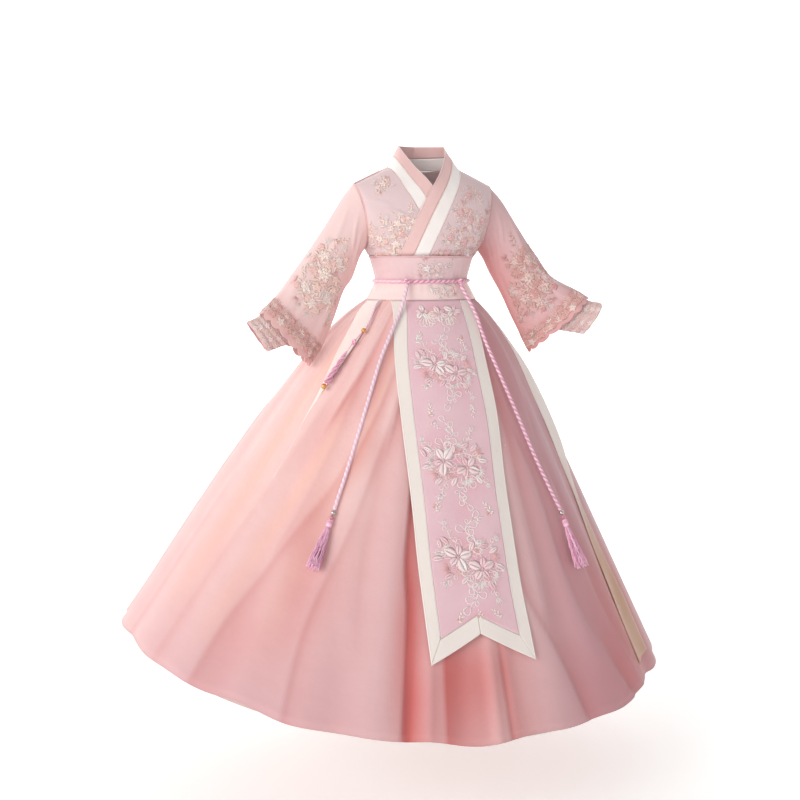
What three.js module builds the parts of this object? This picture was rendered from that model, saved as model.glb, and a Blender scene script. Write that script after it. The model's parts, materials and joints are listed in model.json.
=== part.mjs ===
// A child's crossed-collar hanfu dress, standing in the form it has when worn.
// Millimetres, +Z up. The front faces -Y and the wearer's left is +X.
// The origin is the middle of the shoulder line.

import * as THREE from "three";

const SEAM = 0.3;
const WALL = 1.2;
const BAND_WALL = 1.5;
const DEG = Math.PI / 180;

// ---- Colours -----------------------------------------------------------------------------

const COLOURS = {
  bodice: 0xeccdcc,
  cream: 0xf2eae0,
  collarPink: 0xf0cfcb,
  sleeve: 0xf0cdc8,
  cuff: 0xf1d6d6,
  band: 0xf0c9c8,
  skirt: 0xf3c3bd,
  underskirt: 0xf0bdb8,
  panel: 0xe9c2c8,
  ribbon: 0xefe4cf,
  cord: 0xdf9fb8,
  tassel: 0xdd8fb8,
  silver: 0xb9bcc4,
  gold: 0xcf9547,
  pearl: 0xf4f1ee,
};

// ---- Small helpers -----------------------------------------------------------------------

const mix = (from, to, part) => from + (to - from) * part;

const clamp = (value, low, high) => Math.min(high, Math.max(low, value));

// How far `value` is on its way from `from` to `to`, held between 0 and 1.
const share = (value, from, to) => clamp((value - from) / (to - from), 0, 1);

const span = (from, to, steps) => Array.from({ length: steps + 1 }, (_, i) => mix(from, to, i / steps));

// Reads the column `name` of `rows` at the place `at`, along a smooth curve through the rows.
function column(rows, name, at) {
  const place = clamp(at, rows[0].at, rows.at(-1).at);
  const next = clamp(rows.findIndex((row) => row.at >= place), 1, rows.length - 1);
  const [a, b] = [rows[next - 1], rows[next]];
  const before = rows[Math.max(next - 2, 0)];
  const after = rows[Math.min(next + 1, rows.length - 1)];
  const run = b.at - a.at;
  const slopeA = ((b[name] - before[name]) / (b.at - before.at)) * run;
  const slopeB = ((after[name] - a[name]) / (after.at - a.at)) * run;
  const f = (place - a.at) / run;
  const low = (1 + 2 * f) * (1 - f) ** 2 * a[name] + f * (1 - f) ** 2 * slopeA;
  return low + f * f * (3 - 2 * f) * b[name] - f * f * (1 - f) * slopeB;
}

// The unit normal of surface(u, v) by small steps that stay inside the sheet.
function normalAt(surface, u, v, reach) {
  const step = (value, [low, high], size) => [Math.max(value - size, low), Math.min(value + size, high)];
  const [u0, u1] = step(u, reach.u, (reach.u[1] - reach.u[0]) * 1e-3);
  const [v0, v1] = step(v, reach.v, (reach.v[1] - reach.v[0]) * 1e-3);
  const across = surface(u1, v).sub(surface(u0, v));
  const down = surface(u, v1).sub(surface(u, v0));
  return across.cross(down).normalize();
}

// A cloth wall on surface(u, v). `us` and `vs` are its columns and rows. Its outer face lies
// `lift(u, v)` out from the surface, its inner face `wall` behind that. A closed sheet joins its
// last column to its first one.
function clothGeometry(surface, { us, vs, wall = WALL, lift = () => 0, closed = false, outward = 1 }) {
  const faces = [[], []];
  for (const v of vs) {
    for (const u of us) {
      const reachU = closed ? [u - 0.5, u + 0.5] : [us[0], us.at(-1)];
      const normal = normalAt(surface, u, v, { u: reachU, v: [vs[0], vs.at(-1)] }).multiplyScalar(outward);
      const outer = surface(u, v).addScaledVector(normal, lift(u, v));
      faces[0].push(outer);
      faces[1].push(outer.clone().addScaledVector(normal, -wall));
    }
  }
  return shellGeometry(faces[0], faces[1], us.length, vs.length, closed, outward);
}

// Joins an outer and an inner grid of points into one closed solid.
function shellGeometry(outer, inner, columns, rows, closed, outward = 1) {
  const points = [...outer, ...inner];
  const offset = outer.length;
  const index = [];
  const quad = (a, b, c, d) => (outward > 0 ? index.push(a, b, c, a, c, d) : index.push(a, c, b, a, d, c));
  const at = (row, col, side) => side * offset + row * columns + (col % columns);
  const strips = closed ? columns : columns - 1;
  for (let row = 0; row < rows - 1; row += 1) {
    for (let col = 0; col < strips; col += 1) {
      quad(at(row, col, 0), at(row, col + 1, 0), at(row + 1, col + 1, 0), at(row + 1, col, 0));
      quad(at(row, col + 1, 1), at(row, col, 1), at(row + 1, col, 1), at(row + 1, col + 1, 1));
    }
  }
  const last = rows - 1;
  for (let col = 0; col < strips; col += 1) {
    quad(at(0, col + 1, 0), at(0, col, 0), at(0, col, 1), at(0, col + 1, 1));
    quad(at(last, col, 0), at(last, col + 1, 0), at(last, col + 1, 1), at(last, col, 1));
  }
  if (!closed) {
    const end = columns - 1;
    for (let row = 0; row < last; row += 1) {
      quad(at(row, 0, 0), at(row + 1, 0, 0), at(row + 1, 0, 1), at(row, 0, 1));
      quad(at(row + 1, end, 0), at(row, end, 0), at(row, end, 1), at(row + 1, end, 1));
    }
  }
  const geometry = new THREE.BufferGeometry().setFromPoints(points);
  geometry.setIndex(index);
  return geometry;
}

const garment = new THREE.Group();

// Adds a named mesh with the colour, roughness and metalness of its material.
function add(name, geometry, colour, roughness = 0.85, metalness = 0) {
  const material = new THREE.MeshStandardMaterial({ color: colour, roughness, metalness });
  const mesh = new THREE.Mesh(geometry, material);
  mesh.name = name;
  garment.add(mesh);
  return mesh;
}

// ---- Waistbands --------------------------------------------------------------------------

// Rings of the outer face of the bands, from the top edge down. `at` is the height.
const BAND_RINGS = [
  { at: -226, half: 105, deep: 84 },
  { at: -206, half: 94, deep: 76 },
  { at: -189, half: 86, deep: 69 },
  { at: -166, half: 91, deep: 73.5 },
  { at: -146, half: 97, deep: 77.6 },
  { at: -138, half: 99.5, deep: 79 },
];
const BAND_TOP = -145;
const CINCH = -189;
const BAND_BOTTOM = -222;
const CINCH_GAP = 0.9;

const bandPoint = (phi, z) =>
  new THREE.Vector3(
    column(BAND_RINGS, "half", z) * Math.sin(phi * DEG),
    -column(BAND_RINGS, "deep", z) * Math.cos(phi * DEG),
    z,
  );

const ring = (count) => span(0, 360, count).slice(0, -1);

function bandGeometry(top, bottom, rows) {
  return clothGeometry(bandPoint, {
    us: ring(44),
    vs: span(top, bottom, rows),
    wall: BAND_WALL,
    closed: true,
    outward: -1,
  });
}

// ---- Bodice ------------------------------------------------------------------------------

const ARMPIT = -127;
const SHOULDER = { x: 129, z: -15 };
const NECK = { x: 66, z: 15 };
const BODICE_BOTTOM = -151;
const FRONT_LAP = 3;
const LAP_STARTS = { from: 0.3, to: 0.55 };
const LAP_FADES = 0.2;
const NECK_DIP = 3;
const ARMHOLE_DEEP = 42;
const SHOULDER_ROUND = 2.4;
const SHOULDER_GAP = { from: 0.9, extra: 0.75 };

// Half the gap between front and back: wider on the shoulder, where the two walls lean together.
const halfGap = (up) => SEAM / 2 + SHOULDER_GAP.extra * share(up, SHOULDER_GAP.from, 1);

// The body of the top below the armpits. `at` is the height.
const SIDE_ROWS = [
  { at: -152, half: 89, deep: 69 },
  { at: -142, half: 91.2, deep: 70.8 },
  { at: -135, half: 100, deep: 75 },
  { at: ARMPIT, half: 107.5, deep: 77 },
];
// The top above the armpits. `at` runs from the armpit to the shoulder seam.
const CHEST_ROWS = [
  { at: 0, half: 107.5, deep: 77 },
  { at: 0.3, half: 113.5, deep: 80 },
  { at: 0.6, half: 119, deep: 80 },
  { at: 1, half: SHOULDER.x, deep: 78 },
];

const seamSlope = (NECK.z - SHOULDER.z) / (SHOULDER.x - NECK.x);
const shoulderSeam = (x) => SHOULDER.z + (SHOULDER.x - Math.abs(x)) * seamSlope;
const rise = (x, z) => share(z, ARMPIT, shoulderSeam(x));
const armholeX = (height) => column(CHEST_ROWS, "half", height);
const armholeY = (height) => 2 * ARMHOLE_DEEP * Math.sqrt(height * (1 - height));

// The width and the depth of the top at (x, z), with what is left of the depth at its side.
function torsoDepth(x, z) {
  const height = rise(x, z);
  const low = z < ARMPIT;
  const half = low ? column(SIDE_ROWS, "half", z) : armholeX(height);
  const full = low ? column(SIDE_ROWS, "deep", z) : column(CHEST_ROWS, "deep", height);
  const deep = full * (1 - height ** SHOULDER_ROUND) ** (1 / SHOULDER_ROUND);
  const side = low ? 0 : Math.min(armholeY(height), deep);
  const round = Math.sqrt(Math.max(0, 1 - (x / half) ** 2));
  return side + (deep - side) * round;
}

// The half width of the top at a height above or below the armpit.
const sideX = (z) => (z < ARMPIT ? column(SIDE_ROWS, "half", z) : armholeX(share(z, ARMPIT, SHOULDER.z)));

// The collar, from the middle of the back of the neck (0) to its front end at the waist (1).
// Seam and top are its two long edges; `topY` is the top edge's depth, in front where negative.
const COLLAR_ROWS = [
  { at: 0, seamX: 0, seamZ: 12, topX: 0, topZ: 57, topY: 43 },
  { at: 0.1, seamX: 37, seamZ: 13, topX: 26, topZ: 57, topY: 33 },
  { at: 0.19, seamX: 60, seamZ: 14.5, topX: 39, topZ: 56, topY: 14 },
  { at: 0.26, seamX: NECK.x, seamZ: NECK.z, topX: 43, topZ: 54, topY: -2 },
  { at: 0.33, seamX: 61.5, seamZ: 3, topX: 38, topZ: 39, topY: -21 },
  { at: 0.42, seamX: 52, seamZ: -19, topX: 24, topZ: 14, topY: -44 },
  { at: 0.53, seamX: 39, seamZ: -42, topX: 4, topZ: -13, topY: -66 },
  { at: 0.66, seamX: 25, seamZ: -69, topX: -19, topZ: -49, topY: -79.5 },
  { at: 0.8, seamX: 9, seamZ: -101, topX: -38, topZ: -85, topY: -77 },
  { at: 0.92, seamX: -5, seamZ: -131, topX: -54, topZ: -124, topY: -67.5 },
  { at: 1, seamX: -13, seamZ: BODICE_BOTTOM, topX: -62, topZ: BODICE_BOTTOM, topY: -49.8 },
];
const COLLAR_SPLIT = 0.52;
const NECK_AT = 0.26;
const NECK_STATIONS = [0, 0.06, 0.12, 0.17, 0.22, NECK_AT];
const FRONT_STATIONS = [0.28, 0.32, 0.38, 0.44, 0.52, 0.6, 0.68, 0.76, 0.84, 0.92, 1];

// Where the collar stops standing round the neck and lies on the chest.
const COLLAR_RESTS = { from: 0.4, to: 0.58 };

const seamPoint = (at, side) => {
  const x = column(COLLAR_ROWS, "seamX", at);
  const z = column(COLLAR_ROWS, "seamZ", at);
  const facing = at < NECK_AT ? 1 : -1;
  return new THREE.Vector3(side * x, facing * torsoDepth(x, z), z);
};

// A point of the collar: `across` is 0 at the seam and 1 at the top edge.
function collarPoint(at, across, side) {
  const seam = seamPoint(at, side);
  const top = new THREE.Vector3(
    side * column(COLLAR_ROWS, "topX", at),
    column(COLLAR_ROWS, "topY", at),
    column(COLLAR_ROWS, "topZ", at),
  );
  const point = seam.lerp(top, across);
  point.y = mix(point.y, -torsoDepth(point.x, point.z), share(at, COLLAR_RESTS.from, COLLAR_RESTS.to));
  return point;
}

// How far a front and its collar lie out from the torso: the outer front laps over the under one.
const lapLift = (at) => FRONT_LAP * share(at, LAP_STARTS.from, LAP_STARTS.to);

// One collar band: it runs up the under front, round the neck and down the outer front.
function collarGeometry(from, to) {
  const surface = (path, across) => collarPoint(Math.abs(path), across, Math.sign(path) || 1);
  const half = [...NECK_STATIONS, ...FRONT_STATIONS];
  return clothGeometry(surface, {
    us: [...half.slice(1).reverse().map((at) => -at), ...half],
    vs: [from, to],
    lift: (path) => (path > 0 ? lapLift(path) : 0),
    outward: -1,
  });
}

const BODICE_VS = [0, 0.2, 0.38, 0.56, 0.7, 0.82, 0.91, 0.97, 1];

// A front from its collar seam (0) to the side seam or armhole (1). `at` is the collar station
// that a row starts from, 1 at the waist.
function frontSurface(side) {
  return (across, at) => {
    const up = (1 - at) / (1 - NECK_AT);
    const seamX = column(COLLAR_ROWS, "seamX", at);
    const seamZ = column(COLLAR_ROWS, "seamZ", at);
    const endZ = mix(BODICE_BOTTOM, SHOULDER.z, up);
    const x = mix(seamX + SEAM, sideX(endZ), across);
    const z = mix(seamZ, endZ, across);
    return new THREE.Vector3(side * x, -torsoDepth(x, z) - halfGap(up), z);
  };
}

function frontGeometry(side, lap) {
  return clothGeometry(frontSurface(side), {
    us: span(0, 1, 8),
    vs: [NECK_AT, ...FRONT_STATIONS],
    lift: (across, at) => (lap / FRONT_LAP) * lapLift(at) * share(1 - across, 0, LAP_FADES),
    outward: -side,
  });
}

const NECK_COLUMN = NECK.x / SHOULDER.x;
const NECK_COLUMNS = NECK_STATIONS.map((at) => column(COLLAR_ROWS, "seamX", at) / SHOULDER.x);
const BACK_HALF = [...NECK_COLUMNS, ...span(NECK_COLUMN, 1, 4).slice(1)];

// The back: `across` runs from the right side (-1) to the left one (1), `up` from the waist to
// the shoulder seams and the neckline between them.
function backSurface(across, up) {
  const wide = Math.abs(across);
  const seamX = wide * SHOULDER.x;
  const neckline = NECK.z - NECK_DIP * (1 - (wide / NECK_COLUMN) ** 2) - SEAM;
  const topZ = wide >= NECK_COLUMN ? shoulderSeam(seamX) : neckline;
  const z = mix(BODICE_BOTTOM, topZ, up);
  const edgeZ = mix(BODICE_BOTTOM, SHOULDER.z, up);
  const x = wide * sideX(edgeZ);
  return new THREE.Vector3(Math.sign(across) * x, torsoDepth(x, z) + halfGap(up), z);
}

function backGeometry() {
  return clothGeometry(backSurface, {
    us: [...BACK_HALF.slice(1).reverse().map((u) => -u), ...BACK_HALF],
    vs: BODICE_VS,
    outward: -1,
  });
}

// ---- Sleeves -----------------------------------------------------------------------------

// Sections of the sleeves from the armhole (0) to the hem (1): the upper edge, the lower edge,
// and how far the cloth stands out to the front and back of the line between them.
const SLEEVE_RIGHT_ROWS = [
  { at: 0, topX: 129, topY: 0, topZ: -15, lowX: 107.5, lowY: 0, lowZ: -127, deep: 42, hang: 0 },
  { at: 0.1, topX: 150, topY: -2, topZ: -40, lowX: 120, lowY: -3, lowZ: -147, deep: 41, hang: 0.1 },
  { at: 0.28, topX: 184, topY: -11, topZ: -89, lowX: 135, lowY: -10, lowZ: -183, deep: 37, hang: 0.25 },
  { at: 0.46, topX: 217, topY: -21, topZ: -134, lowX: 153, lowY: -17, lowZ: -207, deep: 34, hang: 0.35 },
  { at: 0.64, topX: 250, topY: -32, topZ: -175, lowX: 173, lowY: -29, lowZ: -252, deep: 33, hang: 0.45 },
  { at: 0.82, topX: 283, topY: -44, topZ: -214, lowX: 196, lowY: -39, lowZ: -298, deep: 33, hang: 0.5 },
  { at: 1, topX: 316, topY: -56, topZ: -243, lowX: 226, lowY: -48, lowZ: -338, deep: 35, hang: 0.5 },
];
const SLEEVE_LEFT_ROWS = [
  { at: 0, topX: 129, topY: 0, topZ: -15, lowX: 107.5, lowY: 0, lowZ: -127, deep: 42, hang: 0 },
  { at: 0.1, topX: 151, topY: -3, topZ: -39, lowX: 121, lowY: -3, lowZ: -148, deep: 41, hang: 0.1 },
  { at: 0.28, topX: 183, topY: -11, topZ: -90, lowX: 138, lowY: -8, lowZ: -183, deep: 37, hang: 0.25 },
  { at: 0.46, topX: 212, topY: -22, topZ: -138, lowX: 155, lowY: -15, lowZ: -219, deep: 34, hang: 0.35 },
  { at: 0.64, topX: 240, topY: -32, topZ: -178, lowX: 169, lowY: -23, lowZ: -254, deep: 33, hang: 0.45 },
  { at: 0.82, topX: 275, topY: -44, topZ: -201, lowX: 184, lowY: -34, lowZ: -291, deep: 33, hang: 0.5 },
  { at: 1, topX: 309, topY: -56, topZ: -222, lowX: 197, lowY: -44, lowZ: -323, deep: 35, hang: 0.5 },
];
const SLEEVE_COLUMNS = 20;
const CUFF_COLUMNS = 14;
const BODICE_JOIN = 0.1;
const HANG_FULLNESS = 0.35;
const SCALLOP = 7;
const SCALLOP_STARTS = 0.95;
const SLEEVE_STATIONS = [0, 0.1, 0.24, 0.38, 0.52, 0.66, 0.8, SCALLOP_STARTS, 1];
const SLEEVE_SEAM = 0.004;
const CUFF_SEAM = { at: 0.78, inset: 2.9, leaves: 0.35 };

// A ring of a sleeve: turn 0 is its upper edge, 90 its front, 180 its lower edge. Towards the hem
// the ring hangs from the arm as a drop: full above, flat below.
function ringPoint(rows, at, turn, side) {
  const angle = turn * DEG;
  const low = (1 - Math.cos(angle)) / 2;
  const hang = column(rows, "hang", at);
  const full = Math.sin(angle) * (1 - hang * low) * (1 + HANG_FULLNESS * hang * (1 - low));
  const point = new THREE.Vector3(
    mix(column(rows, "topX", at), column(rows, "lowX", at), low),
    mix(column(rows, "topY", at), column(rows, "lowY", at), low) - column(rows, "deep", at) * full,
    mix(column(rows, "topZ", at), column(rows, "lowZ", at), low),
  );
  const height = 1 - low;
  point.x += (armholeX(height) - mix(armholeX(0), SHOULDER.x, height)) * (1 - share(at, 0, BODICE_JOIN));
  point.x *= side;
  return point;
}

function sleeveGeometry(rows, side) {
  const us = ring(SLEEVE_COLUMNS);
  const scalloped = (turn) => Math.round((turn * SLEEVE_COLUMNS) / 360) % 2;
  const length = Math.hypot(rows.at(-1).topX - rows[0].topX, rows.at(-1).topZ - rows[0].topZ);
  const surface = (turn, at) => {
    const cut = share(at, SCALLOP_STARTS, 1) * scalloped(turn) * (SCALLOP / length);
    return ringPoint(rows, Math.max(at, SLEEVE_SEAM) - cut, turn, side);
  };
  return clothGeometry(surface, { us, vs: SLEEVE_STATIONS, closed: true, outward: side });
}

// The narrow inner sleeves, sewn inside the wide ones and seen at the wrists.
const CUFF_RIGHT_ROWS = [
  { at: 0, topX: 283, topY: -44, topZ: -218, lowX: 212, lowY: -40, lowZ: -287, deep: 27, hang: 0.4 },
  { at: 0.5, topX: 314, topY: -55, topZ: -247, lowX: 263, lowY: -50, lowZ: -298, deep: 24, hang: 0.4 },
  { at: 1, topX: 338, topY: -62, topZ: -257, lowX: 303, lowY: -60, lowZ: -309, deep: 21, hang: 0.4 },
];
const CUFF_LEFT_ROWS = [
  { at: 0, topX: 273, topY: -44, topZ: -206, lowX: 205, lowY: -37, lowZ: -272, deep: 27, hang: 0.4 },
  { at: 0.5, topX: 307, topY: -55, topZ: -226, lowX: 254, lowY: -50, lowZ: -281, deep: 24, hang: 0.4 },
  { at: 1, topX: 334, topY: -63, topZ: -233, lowX: 301, lowY: -58, lowZ: -290, deep: 21, hang: 0.4 },
];

function cuffGeometry(rows, sleeveRows, side) {
  const surface = (turn, at) => {
    const seam = ringPoint(sleeveRows, CUFF_SEAM.at, turn, side);
    const opposite = ringPoint(sleeveRows, CUFF_SEAM.at, turn + 180, side);
    seam.addScaledVector(opposite.sub(seam).normalize(), CUFF_SEAM.inset);
    return seam.lerp(ringPoint(rows, at, turn, side), share(at, 0, CUFF_SEAM.leaves));
  };
  const vs = [0, CUFF_SEAM.leaves, 0.65, 1];
  return clothGeometry(surface, { us: ring(CUFF_COLUMNS), vs, closed: true, outward: side });
}

// ---- Skirt -------------------------------------------------------------------------------

// The waist ring and the hem ring. Each thread line keeps its cut length, so it drops less where
// the hem stands out further. The cut is longest in front and a little longer on the left.
const WAIST_RING = { half: 91, deep: 71, z: -222 };
const HEM_RING = { half: 499, deep: 402, x: -46, y: 13 };
const SKIRT_CUT = { middle: 746, front: 22, left: 12 };
const PUFF = 0.1;
const PUFF_SETTLE = 0.087;
const RIDGE_LIFT = { waist: 8, skirt: 10.5, settles: 0.1 };
const FOLD_GROWTH = 0.8;
const UNDER_GAP = { waist: 2.6, skirt: 9, settles: 0.12 };
const UNDER_EXTRA = 11;
const SKIRT_TUCK = -0.006;

// The valleys between the skirt's folds: where they are and how deep they get at the hem.
const VALLEYS = [
  { phi: -172, deep: 20 },
  { phi: -155, deep: 15 },
  { phi: -139, deep: 24 },
  { phi: -120, deep: 18 },
  { phi: -104, deep: 13 },
  { phi: -86, deep: 17 },
  { phi: -69, deep: 12 },
  { phi: -52, deep: 20 },
  { phi: -38, deep: 12 },
  { phi: -25, deep: 16 },
  { phi: -12, deep: 24 },
  { phi: 3, deep: 12 },
  { phi: 13, deep: 15 },
  { phi: 28, deep: 18 },
  { phi: 44, deep: 12 },
  { phi: 58, deep: 19 },
  { phi: 76, deep: 13 },
  { phi: 93, deep: 22 },
  { phi: 112, deep: 16 },
  { phi: 130, deep: 21 },
  { phi: 148, deep: 14 },
  { phi: 167, deep: 22 },
];

const puffed = (down) => down + PUFF * (1 - Math.exp(-Math.max(down, 0) / PUFF_SETTLE)) * (1 - down);

// The turns of the valleys, of the ridges midway between them, and of the `places` between.
function foldColumns(places) {
  const columns = [];
  VALLEYS.forEach((valley, i) => {
    const next = i + 1 < VALLEYS.length ? VALLEYS[i + 1].phi : VALLEYS[0].phi + 360;
    columns.push(...span(valley.phi, next, places).slice(0, -1));
  });
  return columns;
}

// How deep the folds are at the angle phi: 0 on a ridge, the valley's depth in its middle.
function foldDepth(phi) {
  const turn = ((phi - VALLEYS[0].phi) % 360 + 360) % 360 + VALLEYS[0].phi;
  const ringRows = [...VALLEYS, { phi: VALLEYS[0].phi + 360, deep: VALLEYS[0].deep }];
  const next = ringRows.findIndex((valley) => valley.phi > turn);
  const [left, right] = [ringRows[next - 1], ringRows[next]];
  const part = (turn - left.phi) / (right.phi - left.phi);
  const deep = part < 0.5 ? left.deep : right.deep;
  return deep * (0.5 + 0.5 * Math.cos(2 * Math.PI * part));
}

// How far out from the smooth form the outer skirt lies.
const foldOut = (phi, down) =>
  mix(RIDGE_LIFT.waist, RIDGE_LIFT.skirt, share(down, 0, RIDGE_LIFT.settles)) -
  foldDepth(phi) * clamp(down, 0, 1) ** FOLD_GROWTH;

const underGap = (down) => mix(UNDER_GAP.waist, UNDER_GAP.skirt, share(down, 0, UNDER_GAP.settles));

// A point of the skirt's smooth form: phi is the turn from the front, `down` 0 at the waist and
// 1 at the hem, `out` how far out from the form it lies.
function skirtPoint(phi, down, out = 0, extra = 0) {
  const sin = Math.sin(phi * DEG);
  const cos = Math.cos(phi * DEG);
  const waist = new THREE.Vector2(WAIST_RING.half * sin, -WAIST_RING.deep * cos);
  const hem = new THREE.Vector2(HEM_RING.x + HEM_RING.half * sin, HEM_RING.y - HEM_RING.deep * cos);
  const run = hem.sub(waist);
  const cut = SKIRT_CUT.middle + SKIRT_CUT.front * cos + SKIRT_CUT.left * sin + extra;
  const drop = Math.sqrt(cut ** 2 - run.lengthSq());
  const flat = waist.addScaledVector(run, puffed(down)).addScaledVector(run.normalize(), out);
  return new THREE.Vector3(flat.x, flat.y, WAIST_RING.z - drop * down);
}

function skirtGeometry() {
  const surface = (phi, down) => skirtPoint(phi, down, foldOut(phi, down));
  return clothGeometry(surface, {
    us: foldColumns(4),
    vs: [SKIRT_TUCK, 0, 0.035, 0.1, 0.22, 0.4, 0.65, 1],
    closed: true,
    outward: -1,
  });
}

function underskirtGeometry() {
  const surface = (phi, down) => skirtPoint(phi, down, foldOut(phi, down) - underGap(down), UNDER_EXTRA);
  return clothGeometry(surface, {
    us: foldColumns(2),
    vs: [SKIRT_TUCK, 0, 0.08, 0.3, 0.6, 1],
    closed: true,
    outward: -1,
  });
}

// ---- Front panel -------------------------------------------------------------------------

// Half width and middle of the panel down the skirt.
const PANEL_ROWS = [
  { at: 0, half: 64.5, middle: -0.5 },
  { at: 0.14, half: 78, middle: -6.5 },
  { at: 0.3, half: 84, middle: -6 },
  { at: 0.5, half: 84.5, middle: -7 },
  { at: 0.65, half: 87.5, middle: -6.5 },
  { at: 0.85, half: 91, middle: -1 },
];
const PANEL_OUT = 13;
const PANEL_BORDER = 21;
const PANEL_TIP = 0.842;
const PANEL_NOTCH = 0.774;
const PANEL_TAIL_BORDER = 0.042;
const PANEL_TOP = 0.0006;
const TAIL_SHARE = 0.994;

// The turn at which the skirt's smooth form passes x.
function turnAt(x, down) {
  const part = puffed(down);
  const half = mix(WAIST_RING.half, HEM_RING.half, part);
  return Math.asin(clamp((x - HEM_RING.x * part) / half, -1, 1)) / DEG;
}

const panelHalf = (down) => column(PANEL_ROWS, "half", down);
const panelX = (place, down) => column(PANEL_ROWS, "middle", down) + place;

const panelPoint = (place, down) => skirtPoint(turnAt(panelX(place, down), down), down, PANEL_OUT);

const MITRE_SHARE = 1 - PANEL_BORDER / PANEL_ROWS.at(-1).half;

// The swallow tail: how far down the panel ends at a part of its half width.
const tailEnd = (part) => mix(PANEL_NOTCH, PANEL_TIP, Math.abs(part));

const PANEL_VS = [0, 0.05, 0.12, 0.22, 0.35, 0.5, 0.66, 0.82, 1];

// A strip of the panel. `edges(down)` gives its two long edges, `end(across)` its lower end.
function stripGeometry(edges, end, columns) {
  const surface = (across, part) => {
    const down = mix(PANEL_TOP, end(across), part);
    const [left, right] = edges(down);
    return panelPoint(mix(left, right, across), down);
  };
  return clothGeometry(surface, {
    us: span(0, 1, columns),
    vs: PANEL_VS,
    outward: -1,
  });
}

function panelCentreGeometry() {
  const inner = (down) => panelHalf(down) - PANEL_BORDER - SEAM;
  return stripGeometry(
    (down) => [-inner(down), inner(down)],
    (across) => tailEnd((2 * across - 1) * MITRE_SHARE) - PANEL_TAIL_BORDER,
    10,
  );
}

function sideBorderGeometry(side) {
  const edges = (down) => [side * (panelHalf(down) - PANEL_BORDER), side * panelHalf(down)];
  const innerEnd = tailEnd(MITRE_SHARE) - PANEL_TAIL_BORDER;
  return stripGeometry(
    (down) => (side > 0 ? edges(down) : edges(down).reverse()),
    (across) => mix(innerEnd, PANEL_TIP, side > 0 ? across : 1 - across),
    2,
  );
}

// The border of one tail, from the notch to its mitre.
function tailBorderGeometry(side) {
  const gap = SEAM / SKIRT_CUT.middle;
  const surface = (across, part) => {
    const inner = MITRE_SHARE * across;
    const down = mix(tailEnd(inner) - PANEL_TAIL_BORDER + 2 * gap, tailEnd(across), part);
    const place = mix(inner, across, part) * TAIL_SHARE * panelHalf(down) + SEAM;
    return panelPoint(side * place, down);
  };
  return clothGeometry(surface, {
    us: span(0, 1, 6),
    vs: [0, 0.5, 1],
    outward: -side,
  });
}

// ---- Side ribbons ------------------------------------------------------------------------

// Where each ribbon lies on the skirt and how wide it shows as it turns edge-on.
const RIBBON_RIGHT_ROWS = [
  { at: 0.001, phi: -70.5, wide: 28 },
  { at: 0.055, phi: -60, wide: 29 },
  { at: 0.1, phi: -57.3, wide: 26 },
  { at: 0.16, phi: -57, wide: 21 },
  { at: 0.22, phi: -57.5, wide: 12 },
  { at: 0.28, phi: -58.2, wide: 5 },
  { at: 0.49, phi: -60, wide: 3 },
];
const RIBBON_LEFT_ROWS = [
  { at: 0.001, phi: 72, wide: 20 },
  { at: 0.12, phi: 69, wide: 26 },
  { at: 0.24, phi: 67, wide: 28 },
  { at: 0.36, phi: 65, wide: 26 },
  { at: 0.46, phi: 62, wide: 14 },
  { at: 0.56, phi: 60, wide: 9 },
  { at: 0.66, phi: 59, wide: 18 },
  { at: 0.78, phi: 57.5, wide: 40 },
  { at: 0.955, phi: 57, wide: 54 },
];
const RIBBON_OUT = 13;
const RIBBON_WALL = 1;
const RIBBON_SPACING = 1.6;

function ribbonGeometry(rows) {
  const surface = (across, down) => {
    const phi = column(rows, "phi", down);
    const radius = skirtPoint(phi, down).setZ(0).distanceTo(new THREE.Vector3(HEM_RING.x, HEM_RING.y, 0));
    return skirtPoint(phi + (across * column(rows, "wide", down)) / radius / DEG, down, RIBBON_OUT);
  };
  return clothGeometry(surface, {
    us: [-0.5, 0, 0.5],
    vs: span(0, 1, 10).map((part) => mix(rows[0].at, rows.at(-1).at, part ** RIBBON_SPACING)),
    wall: RIBBON_WALL,
    outward: -1,
  });
}

// ---- Cords, beads and tassels ------------------------------------------------------------

const CORD = 4.6;
const THIN_CORD = 2.4;
const BELT_REST = 0.1;
const BELT_OUT = CORD / 2 + SEAM + BELT_REST;
const BELT_STEPS = 72;
const CORD_SIDES = 8;
const CORD_STEP = 2.5;

// A closed ring of cord round the waist.
function beltGeometry() {
  const points = [];
  for (const phi of ring(BELT_STEPS)) {
    const outward = new THREE.Vector3(Math.sin(phi * DEG), -Math.cos(phi * DEG), 0);
    const middle = bandPoint(phi, CINCH).addScaledVector(outward, BELT_OUT);
    for (const turn of ring(CORD_SIDES)) {
      const arm = outward.clone().multiplyScalar(Math.cos(turn * DEG)).setZ(Math.sin(turn * DEG));
      points.push(middle.clone().addScaledVector(arm, CORD / 2));
    }
  }
  const index = [];
  const at = (step, turn) => (step % BELT_STEPS) * CORD_SIDES + (turn % CORD_SIDES);
  for (let step = 0; step < BELT_STEPS; step += 1) {
    for (let turn = 0; turn < CORD_SIDES; turn += 1) {
      const [a, b] = [at(step, turn), at(step, turn + 1)];
      const [c, d] = [at(step + 1, turn + 1), at(step + 1, turn)];
      index.push(a, c, b, a, d, c);
    }
  }
  const geometry = new THREE.BufferGeometry().setFromPoints(points);
  geometry.setIndex(index);
  return geometry;
}

// The knots on the waist cord: the turn where each sits, and its half sizes.
const KNOTS = { right: -30, left: 34 };
const KNOT_SIZE = { wide: 6, deep: 4.8, tall: 6.5 };
const KNOT_OUT = BELT_OUT + CORD / 2 + 2 * SEAM + KNOT_SIZE.deep;

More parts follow.
